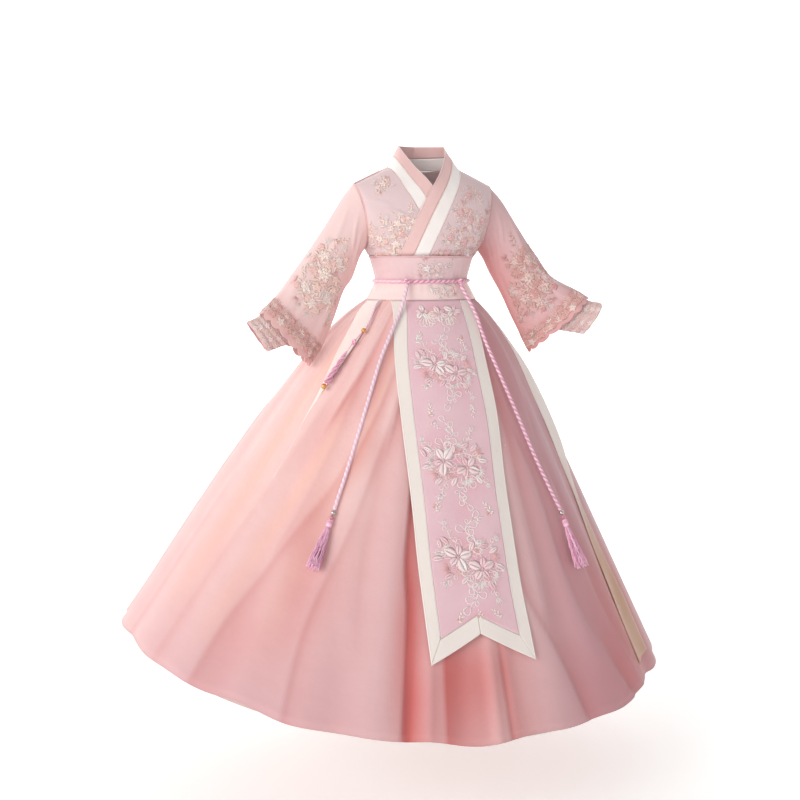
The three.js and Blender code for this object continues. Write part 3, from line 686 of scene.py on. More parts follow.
@dataclass(frozen=True)
class BeadFinish(Finish):
    """A polished bead, plain or metal, with a slow change of tone."""

    colour: Colour
    other: Colour
    metallic: float = 0.0

    def dress(self, s: Sketch, shader: bpy.types.Node) -> None:
        """A cloud of two tones under a thin coat.

        Args:
            s: The material's sketch.
            shader: Its shader.
        """
        cloud = s.noise(s.add("ShaderNodeTexCoord").outputs["Object"], 420.0)
        look = {
            "Base Color": s.blend(cloud, linear(self.colour), linear(self.other)),
            "Roughness": s.scaled(cloud, 0.15, 0.18),
            "Normal": s.bump(cloud, 0.1, 0.0004),
            "Metallic": self.metallic,
            "Coat Weight": 0.3,
        }
        s.join(shader, look)


SATIN = {"roughness": 0.5, "bump": 0.08}
SASH = {"roughness": 0.42, "bump": 0.06, "wrinkle": 0.15}
BODICE = ClothFinish("bodice_cloth", (226, 205, 206), (219, 190, 193), threads=1100, sheen=0.2)
COLLAR_CREAM = ClothFinish("collar_cream_satin", (248, 243, 240), (242, 232, 229), **SATIN)
COLLAR_PINK = ClothFinish("collar_pink_satin", (236, 201, 198), (229, 188, 186), **SATIN)
SASH_PINK = ClothFinish("sash_satin", (229, 200, 201), (223, 188, 192), **SASH)
SASH_PALE = ClothFinish("sash_pale", (247, 224, 220), (240, 210, 208), **SASH)
# The organza's deep pink is mostly painted shade, and its mauve is painted shade.
ORGANZA = ClothFinish(
    "sleeve_organza", (243, 216, 213), (237, 199, 198), (218, 142, 138), (206, 164, 168), threads=1000
)
CUFF = ClothFinish("cuff_lace", (240, 208, 207), (232, 194, 194), (222, 162, 162), threads=900, bump=0.3)
# The skirt's deep coral is painted shade over the net's own coral, its mauve is painted shade, and its peach is a
# painted highlight.
TULLE = ClothFinish(
    "skirt_tulle", (240, 207, 203), (235, 190, 188), (202, 107, 104), (192, 144, 155), (252, 196, 164),
    sheen=0.3, wrinkle=0.12,
)  # fmt: skip
UNDERSKIRT = ClothFinish("underskirt_satin", (226, 200, 192), (208, 180, 174), (186, 138, 130), roughness=0.5)
PANEL_LACE = ClothFinish(
    "panel_lace", (238, 206, 213), (228, 187, 196), (228, 148, 166), threads=1000, sheen=0.2, bump=0.25
)
BORDER = ClothFinish("border_cream_satin", (242, 234, 228), (234, 224, 217), **SATIN)
# The ribbon's deep tan is painted shade.
RIBBON = ClothFinish("ribbon_cream", (246, 236, 231), (240, 226, 220), (196, 146, 116), **SATIN)
THREAD = ThreadFinish("stitch_thread", ((255, 246, 243), (255, 220, 204), (252, 196, 196)))
# A darker copy of the stitch thread for the left sleeve, away from the light: painted shade.
THREAD_SHADED = ThreadFinish("stitch_rose_shaded", ((244, 224, 220), (218, 166, 154), (220, 152, 156)))
THREAD_BLUSH = ThreadFinish("stitch_blush", ((253, 236, 238), (240, 202, 190), (236, 178, 186)))
THREAD_CORAL = ThreadFinish("stitch_coral", ((248, 228, 222), (228, 182, 170), (228, 164, 162)))
THREAD_PALE = ThreadFinish("stitch_pale", ((252, 242, 242), (242, 214, 210), (238, 190, 194)))
PETAL = ThreadFinish("ribbon_petals", ((255, 244, 242), (248, 216, 219), (240, 190, 199)), roughness=0.38)
BELT_TWIST = StrandFinish("belt_twist", (210, 124, 160), (246, 206, 220))
END_TWIST = StrandFinish("end_twist", (220, 136, 170), (246, 220, 232))
PALE_TWIST = StrandFinish("pale_twist", (234, 190, 212), (248, 234, 242))
FLOSS = StrandFinish("tassel_floss", (236, 152, 194), (254, 218, 234))
CURLY_FLOSS = StrandFinish("curly_floss", (226, 110, 166), (255, 214, 230))
SILVER = BeadFinish("bead_silver", (214, 208, 204), (186, 178, 176), metallic=0.85)
PINK_BEAD = BeadFinish("bead_pink", (214, 140, 160), (196, 112, 138))
PEARL = BeadFinish("bead_pearl", (246, 238, 232), (234, 222, 216))
GOLD = BeadFinish("bead_gold", (232, 178, 110), (206, 140, 74), metallic=0.6)


# ---- The dress's forms ----

CINCH = -189.0
BAND = Track(((-226, 105, 84), (-206, 94, 76), (-189, 86, 69), (-166, 91, 73.5), (-146, 97, 77.6), (-138, 99.5, 79)))
ARMPIT = -127.0
SHOULDER_X, SHOULDER_Z = 129.0, -15.0
NECK_X, NECK_Z = 66.0, 15.0
BODICE_BOTTOM = -151.0
SIDE = Track(((-152, 89, 69), (-142, 91.2, 70.8), (-135, 100, 75), (-127, 107.5, 77)))
CHEST = Track(((0, 107.5, 77), (0.3, 113.5, 80), (0.6, 119, 80), (1, 129, 78)))
COLLAR = Track(
    (
        (0, 0, 12, 0, 57, 43),
        (0.1, 37, 13, 26, 57, 33),
        (0.19, 60, 14.5, 39, 56, 14),
        (0.26, 66, 15, 43, 54, -2),
        (0.33, 61.5, 3, 38, 39, -21),
        (0.42, 52, -19, 24, 14, -44),
        (0.53, 39, -42, 4, -13, -66),
        (0.66, 25, -69, -19, -49, -79.5),
        (0.8, 9, -101, -38, -85, -77),
        (0.92, -5, -131, -54, -124, -67.5),
        (1, -13, -151, -62, -151, -49.8),
    )
)
NECK_AT = 0.26
COLLAR_SPLIT = 0.52
BLOUSE = 5.0


def band_form(phi: Array, z: Array) -> Array:
    """The sash: an oval ring at each height."""
    half, deep = BAND(z)
    turn = np.radians(phi)
    return points(half * np.sin(turn), -deep * np.cos(turn), z)


def shoulder_seam(x: Array) -> Array:
    """The height of the shoulder seam at x."""
    return SHOULDER_Z + (SHOULDER_X - np.abs(x)) * (NECK_Z - SHOULDER_Z) / (SHOULDER_X - NECK_X)


def armhole_y(height: Array) -> Array:
    """How far the armhole stands out from its own middle line."""
    return 84.0 * np.sqrt(height * (1 - height))


def torso_depth(x: Array, z: Array) -> Array:
    """The depth of the top at (x, z), with what is left of it at the side.

    The full depth closes towards the shoulder seam as a power curve, and rounds off to the side as
    a circle does.
    """
    rise = share(z, ARMPIT, shoulder_seam(x))
    low = np.asarray(z) < ARMPIT
    below, above = SIDE(z), CHEST(rise)
    half = np.where(low, below[0], above[0])
    deep = np.where(low, below[1], above[1]) * (1 - rise**2.4) ** (1 / 2.4)
    side = np.where(low, 0.0, np.minimum(armhole_y(rise), deep))
    return side + (deep - side) * np.sqrt(np.maximum(0.0, 1 - (x / half) ** 2))


def side_x(z: Array) -> Array:
    """The half width of the top at a height."""
    return np.where(z < ARMPIT, SIDE(z)[0], CHEST(share(z, ARMPIT, SHOULDER_Z))[0])


def half_gap(up: Array) -> Array:
    """Half the gap between front and back: a little wider on the shoulder."""
    return 0.15 + 0.75 * share(up, 0.9, 1.0)


def collar_form(path: Array, across: Array) -> Array:
    """The collar: path runs from the right front (-1) round the neck (0) to the left front (1).

    A point lies between the neck seam and the top edge, and comes to rest on the chest in front.
    """
    at, side = np.abs(path), np.where(path < 0, -1.0, 1.0)
    seam_x, seam_z, top_x, top_z, top_y = COLLAR(at)
    seam_y = np.where(at < NECK_AT, 1.0, -1.0) * torso_depth(seam_x, seam_z)
    x = mix(side * seam_x, side * top_x, across)
    z = mix(seam_z, top_z, across)
    y = mix(seam_y, top_y, across)
    return points(x, mix(y, -torso_depth(x, z), share(at, 0.4, 0.58)), z)


def lap_lift(at: Array) -> Array:
    """How far the outer front lies out from the torso."""
    return 3.0 * share(at, 0.3, 0.55)


def front_form(side: int) -> Surface:
    """A front: across from its collar seam to the side, `at` the collar station of each row."""

    def surface(across: Array, at: Array) -> Array:
        """The front's point."""
        up = (1 - at) / (1 - NECK_AT)
        seam_x, seam_z = COLLAR(at)[:2]
        end_z = mix(BODICE_BOTTOM, SHOULDER_Z, up)
        x = mix(seam_x + SEAM, side_x(end_z), across)
        z = mix(seam_z, end_z, across)
        return points(side * x, -torso_depth(x, z) - half_gap(up), z)

    return surface


def back_form(across: Array, up: Array) -> Array:
    """The back: across from the right side (-1) to the left (1), up from waist to shoulder."""
    wide = np.abs(across)
    column = NECK_X / SHOULDER_X
    neckline = NECK_Z - 3.0 * (1 - (wide / column) ** 2) - SEAM
    top = np.where(wide >= column, shoulder_seam(wide * SHOULDER_X), neckline)
    z = mix(BODICE_BOTTOM, top, up)
    x = wide * side_x(mix(BODICE_BOTTOM, SHOULDER_Z, up))
    return points(np.sign(across) * x, torso_depth(x, z) + half_gap(up), z)


SLEEVE_RIGHT = Track(
    (
        (0, 129, 0, -15, 107.5, 0, -127, 42, 0),
        (0.1, 150, -2, -40, 120, -3, -147, 41, 0.1),
        (0.28, 184, -11, -89, 135, -10, -183, 37, 0.25),
        (0.46, 217, -21, -134, 153, -17, -207, 34, 0.35),
        (0.64, 250, -32, -175, 173, -29, -252, 33, 0.45),
        (0.82, 283, -44, -214, 196, -39, -298, 33, 0.5),
        (1, 316, -56, -243, 226, -48, -338, 35, 0.5),
    )
)
SLEEVE_LEFT = Track(
    (
        (0, 129, 0, -15, 107.5, 0, -127, 42, 0),
        (0.1, 151, -3, -39, 121, -3, -148, 41, 0.1),
        (0.28, 183, -11, -90, 138, -8, -183, 37, 0.25),
        (0.46, 212, -22, -138, 155, -15, -219, 34, 0.35),
        (0.64, 240, -32, -178, 169, -23, -254, 33, 0.45),
        (0.82, 275, -44, -201, 184, -34, -291, 33, 0.5),
        (1, 309, -56, -222, 197, -44, -323, 35, 0.5),
    )
)
CUFF_RIGHT = Track(
    (
        (0, 283, -44, -218, 212, -40, -287, 27, 0.4),
        (0.5, 314, -55, -247, 263, -50, -298, 24, 0.4),
        (1, 338, -62, -257, 303, -60, -309, 21, 0.4),
    )
)
CUFF_LEFT = Track(
    (
        (0, 273, -44, -206, 205, -37, -272, 27, 0.4),
        (0.5, 307, -55, -226, 254, -50, -281, 24, 0.4),
        (1, 334, -63, -233, 301, -58, -290, 21, 0.4),
    )
)


def sleeve_form(rows: Track, side: int) -> Surface:
    """A sleeve: turn 0 is its upper edge, 90 its front, 180 its lower edge; at runs to the hem.

    Each ring is full above and hangs flat below, and the first one is the armhole.
    """

    def surface(turn: Array, at: Array) -> Array:
        """The sleeve's point."""
        angle = np.radians(turn)
        low = (1 - np.cos(angle)) / 2
        top_x, top_y, top_z, low_x, low_y, low_z, deep, hang = rows(at)
        full = np.sin(angle) * (1 - hang * low) * (1 + 0.35 * hang * (1 - low))
        hole = CHEST(1 - low)[0] - mix(107.5, 129.0, 1 - low)
        x = mix(top_x, low_x, low) + hole * (1 - share(at, 0.0, 0.1))
        return points(side * x, mix(top_y, low_y, low) - deep * full, mix(top_z, low_z, low))

    return surface


def cuff_form(rows: Track, sleeve: Surface, side: int) -> Surface:
    """An inner sleeve: sewn inside the wide one, then on its own narrow rings."""
    own = sleeve_form(rows, side)
    seam_at = np.array(0.78)

    def surface(turn: Array, at: Array) -> Array:
        """The inner sleeve's point."""
        ring_at = np.full(np.shape(turn), seam_at)
        seam = sleeve(turn, ring_at)
        seam = seam + unit(sleeve(turn + 180, ring_at) - seam) * 2.9
        return seam + (own(turn, at) - seam) * share(at, 0.0, 0.35)[..., None]

    return surface


def puffed(down: Array) -> Array:
    """How far out the skirt's run has come: quickly just under the waist, then evenly."""
    return down + 0.1 * (1 - np.exp(-np.maximum(down, 0.0) / 0.087)) * (1 - down)


SKIRT_TOP = -222.0
CUT = 746.0
WAIST = (91.0, 71.0)
HEM_MIDDLE = (-46.0, 13.0)
HEM = (499.0, 402.0)


def skirt_form(phi: Array, down: Array, out: Amount = 0.0, extra: float = 0.0) -> Array:
    """The skirt's smooth form: phi from the front, down 0 at the waist and 1 at the hem.

    The plan runs from the waist oval to the hem oval, and each thread line keeps its cut length,
    so its drop is the root of the cut's square less the run's square.
    """
    sin, cos = np.sin(np.radians(phi)), np.cos(np.radians(phi))
    waist_x, waist_y = WAIST[0] * sin, -WAIST[1] * cos
    run_x = HEM_MIDDLE[0] + HEM[0] * sin - waist_x
    run_y = HEM_MIDDLE[1] - HEM[1] * cos - waist_y
    run = np.hypot(run_x, run_y)
    drop = np.sqrt((CUT + 22 * cos + 12 * sin + extra) ** 2 - run**2)
    part = puffed(down) + out / run
    return points(waist_x + run_x * part, waist_y + run_y * part, SKIRT_TOP - drop * down)


def turn_at(x: Array, down: Array) -> Array:
    """The turn at which the skirt's form passes x."""
    part = puffed(down)
    return np.degrees(np.arcsin(np.clip((x - HEM_MIDDLE[0] * part) / mix(WAIST[0], HEM[0], part), -1, 1)))


PANEL = Track(((0, 64.5, -0.5), (0.14, 78, -6.5), (0.3, 84, -6), (0.5, 84.5, -7), (0.65, 87.5, -6.5), (0.85, 91, -1)))
PANEL_OUT = 13.0
PANEL_BORDER = 21.0
PANEL_TOP = 0.0006
PANEL_TIP = 0.842
PANEL_NOTCH = 0.774
TAIL_BORDER = 0.042
MITRE = 1 - PANEL_BORDER / 91.0


def panel_form(place: Array, down: Array) -> Array:
    """The front panel: `place` is how far to the left of its middle, in millimetres."""
    return skirt_form(turn_at(PANEL(down)[1] + place, down), down, PANEL_OUT)


def tail_end(part: Array) -> Array:
    """How far down the panel ends at a part of its half width."""
    return mix(PANEL_NOTCH, PANEL_TIP, np.abs(part))


# ---- Folds of the skirt ----


@dataclass(frozen=True)
class Fold:
    """A listed fold: a bell across its line, with its own width on each side.

    `line` gives down and phi, `high` how far it stands out, `right` and `left` how wide it is to the left and right of
    someone who faces it, `dye_and_shade` how much deeper its low side is coloured, with painted shade and the net's
    own coral.
    """

    line: tuple[tuple[float, float], ...]
    high: float
    left: float
    right: float
    dye_and_shade: float = 0.0

    def across(self, phi: Array, down: Array) -> Array:
        """The distance from the fold's line, to the facing right, in millimetres."""
        turn = off_turn(phi, Track(self.line)(down)[0])
        return np.radians(turn) * mix(82.0, 450.0, puffed(down))

    def reach(self, down: Array) -> Array:
        """1 on the fold's length, fading at an end that isn't the waist or hem."""
        first, last = self.line[0][0], self.line[-1][0]
        start = ease(share(down, first - 0.02, first + 0.1)) if first > 0.03 else 1.0
        end = ease(share(-down, -last - 0.02, -last + 0.1)) if last < 0.97 else 1.0
        return start * end * mix(0.3, 1.0, share(down, 0.0, 0.25))


FOLDS = (
    Fold(
        ((0.02, -31), (0.18, -32.5), (0.25, -34), (0.43, -38), (0.59, -46), (0.69, -50.5), (0.82, -55.5), (1, -58)),
        6, 62, 11, 0.3,
    ),
    Fold(((0.1, -20), (0.23, -22.5), (0.435, -28), (0.6, -32), (0.71, -35), (0.83, -36.5), (1, -36)), 5, 38, 9, 0.3),
    Fold(((0.3, -13), (0.6, -14.5), (0.73, -13.2), (1, -13)), 5, 30, 5, 0.75),
    Fold(((0.28, -26.5), (0.49, -26.5), (0.62, -27), (0.87, -24.5)), 3, 16, 16, 0.08),
    Fold(((0.17, -49), (0.33, -57), (0.55, -63), (0.76, -68), (1, -71)), 4, 45, 14, 0.12),
    Fold(((0.02, -36), (0.1, -37), (0.17, -39.5), (0.26, -44), (0.36, -48)), -6, 4, 6, 0.75),
    Fold(((0.02, -24), (0.12, -24), (0.24, -28), (0.36, -33), (0.5, -38)), 3.5, 14, 4, 0.45),
    Fold(((0.02, -18), (0.12, -18.5), (0.26, -21), (0.4, -24)), 3, 10, 4, 0.4),
    Fold(((0.02, -30), (0.1, -30.5), (0.2, -33.5), (0.32, -38)), 3, 9, 4, 0.35),
    Fold(((0.1, -43.5), (0.28, -43), (0.48, -46), (0.7, -51)), 3.5, 24, 8, 0.14),
    Fold(((0.02, -56), (0.1, -54), (0.22, -57), (0.34, -63)), -3, 6, 6, 0.15),
    Fold(((0.5, -81), (0.75, -84), (1, -86)), 4, 40, 14, 0.08),
    Fold(((0.83, -10.6), (1, -11)), -5, 9, 8, 0.45),
    Fold(((0.78, -7.4), (1, -7.6)), 5, 9, 9, 0.12),
    Fold(((0.74, -0.6), (1, -1)), -6, 26, 26, 0.6),
    Fold(((0.75, 6.2), (1, 6.2)), 5, 8, 8, 0.2),
    Fold(((0.75, 9), (1, 9.2)), -4, 5, 7, 0.6),
    Fold(((0.5, 14), (0.7, 17.5), (0.84, 23.5), (1, 27.5)), 5.5, 34, 7, 0.45),
    Fold(((0.2, 24), (0.46, 23.5), (0.62, 23.5), (0.8, 22.5)), 4, 10, 20, 0.3),
    Fold(((0.3, 29), (0.46, 33), (0.63, 33), (0.77, 35), (1, 44.5)), 5.5, 30, 8, 0.35),
    Fold(((0.02, 36), (0.15, 34), (0.3, 36)), -3.5, 5, 6, 0.3),
    Fold(((0.02, 50), (0.2, 47), (0.35, 44)), 4, 18, 7, 0.25),
    Fold(((0.4, 43), (0.62, 43.5), (0.75, 44), (1, 50)), 4, 20, 9, 0.2),
    Fold(((0.1, 82), (0.4, 76), (0.7, 77), (1, 79)), 6, 34, 8, 0.3),
    Fold(((0.3, 97), (0.6, 93), (1, 94)), 5, 44, 9, 0.2),
    Fold(((0.02, 108), (0.3, 112), (0.7, 116), (1, 117)), 7, 50, 9, 0.3),
    Fold(((0.2, 133), (0.5, 129), (1, 131)), 5, 20, 34, 0.2),
    Fold(((0.02, 150), (0.35, 152), (0.7, 149), (1, 151)), 7, 46, 8, 0.35),
    Fold(((0.3, 172), (0.6, 170), (1, 171)), 5, 9, 40, 0.2),
    Fold(((0.02, 187), (0.3, 190), (0.7, 193), (1, 192)), 7, 8, 48, 0.3),
    Fold(((0.15, 210), (0.5, 213), (1, 215)), 5, 30, 12, 0.2),
    Fold(((0.02, 231), (0.4, 235), (0.75, 233), (1, 236)), 7, 9, 44, 0.35),
    Fold(((0.3, 254), (0.7, 258), (1, 257)), 5, 38, 10, 0.2),
)  # fmt: skip

VALLEYS = Track(
    (
        (-193, 22), (-172, 20), (-155, 15), (-139, 24), (-120, 18), (-104, 13), (-86, 17), (-69, 12), (-52, 20),
        (-38, 12), (-25, 16), (-12, 24), (3, 12), (13, 15), (28, 18), (44, 12), (58, 19), (76, 13), (93, 22),
        (112, 16), (130, 21), (148, 14), (167, 22), (188, 20),
    )
)  # fmt: skip
WAVE_SHARE = 0.42
SKIRT_MOST = 11.0
SIDE_FULL = 7.0


def waves(phi: Array) -> Array:
    """The soft waves between the valleys: 0 on a ridge, each valley's depth in its middle."""
    turn = off_turn(phi, 0)
    starts = VALLEYS.at
    low = np.clip(np.searchsorted(starts, turn, side="right") - 1, 0, len(starts) - 2)
    part = (turn - starts[low]) / (starts[low + 1] - starts[low])
    deep = np.where(part < 0.5, VALLEYS.values[low, 0], VALLEYS.values[low + 1, 0])
    return deep * (0.5 + 0.5 * np.cos(2 * np.pi * part))


def pleats(phi: Array) -> Array:
    """The small uneven pleats of the gathered cloth."""
    turn = np.radians(phi)
    wide = np.sin(turn * 23 + 1.7 * np.sin(turn * 3)) + 0.5 * np.sin(turn * 38)
    return wide + 0.4 * np.sin(turn * 71 + 2 * np.sin(turn * 6))


def skirt_out(phi: Array, down: Array) -> Array:
    """How far out the skirt lies from its smooth form: waves, folds and gathers, softly capped."""
    held = np.clip(down, 0.0, 1.0)
    base = mix(8.0, 9.0, share(down, 0.0, 0.1)) - waves(phi) * WAVE_SHARE * held**0.8
    for fold in FOLDS:
        x = fold.across(phi, held)
        bell = np.where(x < 0, dome(x, fold.left), dome(x, fold.right))
        base = base + fold.high * bell * fold.reach(held)
    turn = np.radians(phi)
    gathers = np.sin(turn * 57 + 2 * np.sin(turn * 5)) + 0.6 * np.sin(turn * 93)
    base = base + gathers * 0.6 * np.exp(-held / 0.07) * share(down, -0.006, 0.004)
    base = base + pleats(phi) * 0.8 * share(held, 0.0, 0.1) * np.exp(-held / 0.6)
    side = dome(off_turn(phi, -97), 26.0) * np.sin(np.pi * held) ** 2
    most = SKIRT_MOST + SIDE_FULL * side
    base = base - 3.0 + SIDE_FULL * side
    return most - 2.2 * np.log1p(np.exp(np.clip((most - base) / 2.2, -30, 30)))


def skirt_dye_and_shade(phi: Array, down: Array) -> Array:
    """How deep the coral shows, from 0 to 1: painted shade in the valleys and on the low side of folds, over the net's
    own coral where it gathers, and in patches, some lighter.
    """
    held = np.clip(down, 0.0, 1.0)
    total = 0.12 * share(waves(phi), 0.0, 24.0) - 0.035 * pleats(phi - 1.0) * np.exp(-held / 0.7)
    for fold in FOLDS:
        x = fold.across(phi, held)
        side = x - fold.right * 0.4 if fold.high > 0 else x + fold.left
        low = ease(share(side, -3.0, 5.0)) * np.exp(-np.maximum(side - 5.0, 0.0) / mix(12.0, 34.0, held))
        total = total + fold.dye_and_shade * fold.reach(held) * low * 0.8
    for where, at, wide, tall, deep in DYE_AND_SHADE_PATCHES:
        total = total + deep * dome(off_turn(phi, where), wide) * dome(held - at, tall)
    return np.clip(total, 0.0, 1.0)


def skirt_painted_shade(phi: Array, down: Array) -> Array:
    """Painted shade in mauve: on the left side, away from the light, low in front, a little behind, and a little right
    of the front at mid height.
    """
    turn = off_turn(phi, 0)
    held = np.clip(down, 0.0, 1.0)
    side = 0.24 * dome(turn + 16, 13.0) * dome(held - 0.5, 0.3)
    left = 0.74 * ease(share(turn, 4, 40)) * ease(share(-turn, -150, -105))
    low = 0.44 * dome(turn + 30, 62.0) * ease(share(held, 0.35, 1.0))
    low = low + 0.16 * dome(turn + 50, 26.0) * share(held, 0.8, 1.0)
    behind = 0.2 * dome(turn % 360 - 190, 50.0)
    return np.clip(left + low + behind + side, 0.0, 0.85)


def skirt_peach_highlight(phi: Array, down: Array) -> Array:
    """Painted peach highlights in long soft bands along the folds, with one wide band low on the left side."""
    held = np.clip(down, 0.0, 1.0)
    total = np.zeros(np.shape(held))
    for line, wide, much in PEACH_BANDS:
        first, last = line[0][0], line[-1][0]
        reach = ease(share(held, first - 0.05, first + 0.15)) * ease(share(-held, -last - 0.05, -last + 0.15))
        total = total + much * dome(off_turn(phi, Track(line)(held)[0]), wide) * reach
    return np.clip(total, 0.0, 0.9)


# Painted peach highlights: each band's line of down and turn, its width and its strength.
PEACH_BANDS = (
    (((0.03, -60), (0.3, -67), (0.6, -70), (0.9, -74)), 5, 0.28),
    (((0.25, -43), (0.36, -44), (0.5, -49), (0.66, -54), (0.95, -60)), 3.5, 0.28),
    (((0.4, -37), (0.6, -41), (0.75, -43), (0.95, -45)), 4, 0.22),
    (((0.05, -27), (0.3, -30), (0.5, -35)), 3, 0.25),
    (((0.6, 60), (0.8, 62), (1.0, 62)), 16, 0.7),
    (((0.1, 150), (0.5, 148), (0.9, 152)), 9, 0.35),
    (((0.2, 212), (0.6, 208), (0.9, 205)), 9, 0.35),
)

# Patches of painted shade in coral, and of painted light where the amount is negative: turn, down, width in turn,
# width down, amount.
DYE_AND_SHADE_PATCHES = (
    (-24, 0.28, 6, 0.12, -0.25),
    (-29, 0.46, 5, 0.12, -0.18),
    (-54, 0.25, 6, 0.08, -0.12),
    (-48, 0.36, 6.5, 0.09, 0.22),
    (-43, 0.58, 5, 0.12, 0.2),
    (-34, 0.68, 5, 0.1, 0.12),
    (-39, 0.74, 5, 0.11, 0.26),
    (-47, 0.86, 9, 0.1, 0.14),
    (-12.5, 0.78, 3, 0.2, 0.5),
    (-0.5, 0.83, 5, 0.1, 0.46),
    (0, 0.95, 6, 0.1, 0.2),
    (4.4, 0.86, 2.6, 0.11, 0.34),
    (8, 0.84, 2.5, 0.08, 0.2),
    (-27, 0.38, 5, 0.06, 0.16),
    (30, 0.2, 8, 0.16, 0.25),
    (24, 0.66, 5, 0.16, -0.2),
    (40, 0.12, 14, 0.12, 0.14),
    (58, 0.82, 14, 0.2, 0.6),
    (40, 0.95, 12, 0.12, 0.18),
    (118, 0.3, 8, 0.25, 0.3),
    (160, 0.6, 9, 0.3, 0.3),
    (-140, 0.4, 9, 0.3, 0.3),
)


# ---- Making pieces ----


def add_piece(name: str, build: Build, finish: Finish, slot: str, *nodes: str) -> bpy.types.Object:
    """Makes a piece at the origin, fastens it to the body and hides the modelled solids that it replaces.

    Args:
        name: The piece's name.
        build: Its quads, with a map for each corner.
        finish: Its finish.
        slot: The record's material slot; not used.
        *nodes: The modelled solids that it replaces.

    Returns:
        The piece.
    """
    mesh = bpy.data.meshes.new(name)
    count, sides = build.faces.shape
    mesh.vertices.add(len(build.verts))
    mesh.vertices.foreach_set("co", (build.verts * MM).astype(np.float32).ravel())
    mesh.loops.add(count * sides)
    mesh.loops.foreach_set("vertex_index", build.faces.astype(np.int32).ravel())
    mesh.polygons.add(count)
    mesh.polygons.foreach_set("loop_start", np.arange(0, count * sides, sides, dtype=np.int32))
    mesh.update(calc_edges=True)
    mesh.polygons.foreach_set("use_smooth", np.ones(count, bool) if build.crisp is None else ~build.crisp)
    mesh.uv_layers.new(name="cloth").data.foreach_set("uv", (build.uv * MM).astype(np.float32).ravel())
    for label, values in build.values.items():
        held = mesh.attributes.new(label, "FLOAT", "POINT")
        held.data.foreach_set("value", values.astype(np.float32).ravel())
    mesh.materials.append(finish.material())
    mesh.update()
    obj = bpy.data.objects.new(name, mesh)
    bpy.context.scene.collection.objects.link(obj)
    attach(obj, BODY)
    if nodes:
        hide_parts(*nodes)
    LOG.info("%s: %d faces", name, count)
    return obj


@dataclass
class Lay:
    """A cloth face that stitches lie on."""

    surface: Surface
    height: Surface
    outward: float
    step_u: float = 1e-3
    step_v: float = 1e-3

    def slopes(self, u: Array, v: Array) -> tuple[Array, Array]:
        """The form's change with u and with v, by central differences."""
        a, b = self.step_u, self.step_v
        across = (self.surface(u + a, v) - self.surface(u - a, v)) / (2 * a)
        down = (self.surface(u, v + b) - self.surface(u, v - b)) / (2 * b)
        return across, down

    def spread(self, u0: float, v0: float, x: Array, y: Array) -> tuple[Array, Array]:
        """Turns millimetres across and down from an anchor into the form's own u and v."""
        across, down = self.slopes(np.array([u0]), np.array([v0]))
        wide = float(np.linalg.norm(across))
        right = across[0] / wide
        lean = float(down[0] @ right)
        tall = float(np.linalg.norm(down[0] - lean * right))
        dv = y / tall
        return u0 + (x - dv * lean) / wide, v0 + dv

    def points(self, u: Array, v: Array, high: Array) -> Array:
        """Points that stand `high` over the cloth."""
        across, down = self.slopes(u, v)
        out = unit(np.cross(across, down)) * self.outward
        return self.surface(u, v) + out * (self.height(u, v) + high)[..., None]


STRAND_SIDES = 4
FINE_STITCH = 0.1
LEAST_TALL = 0.12


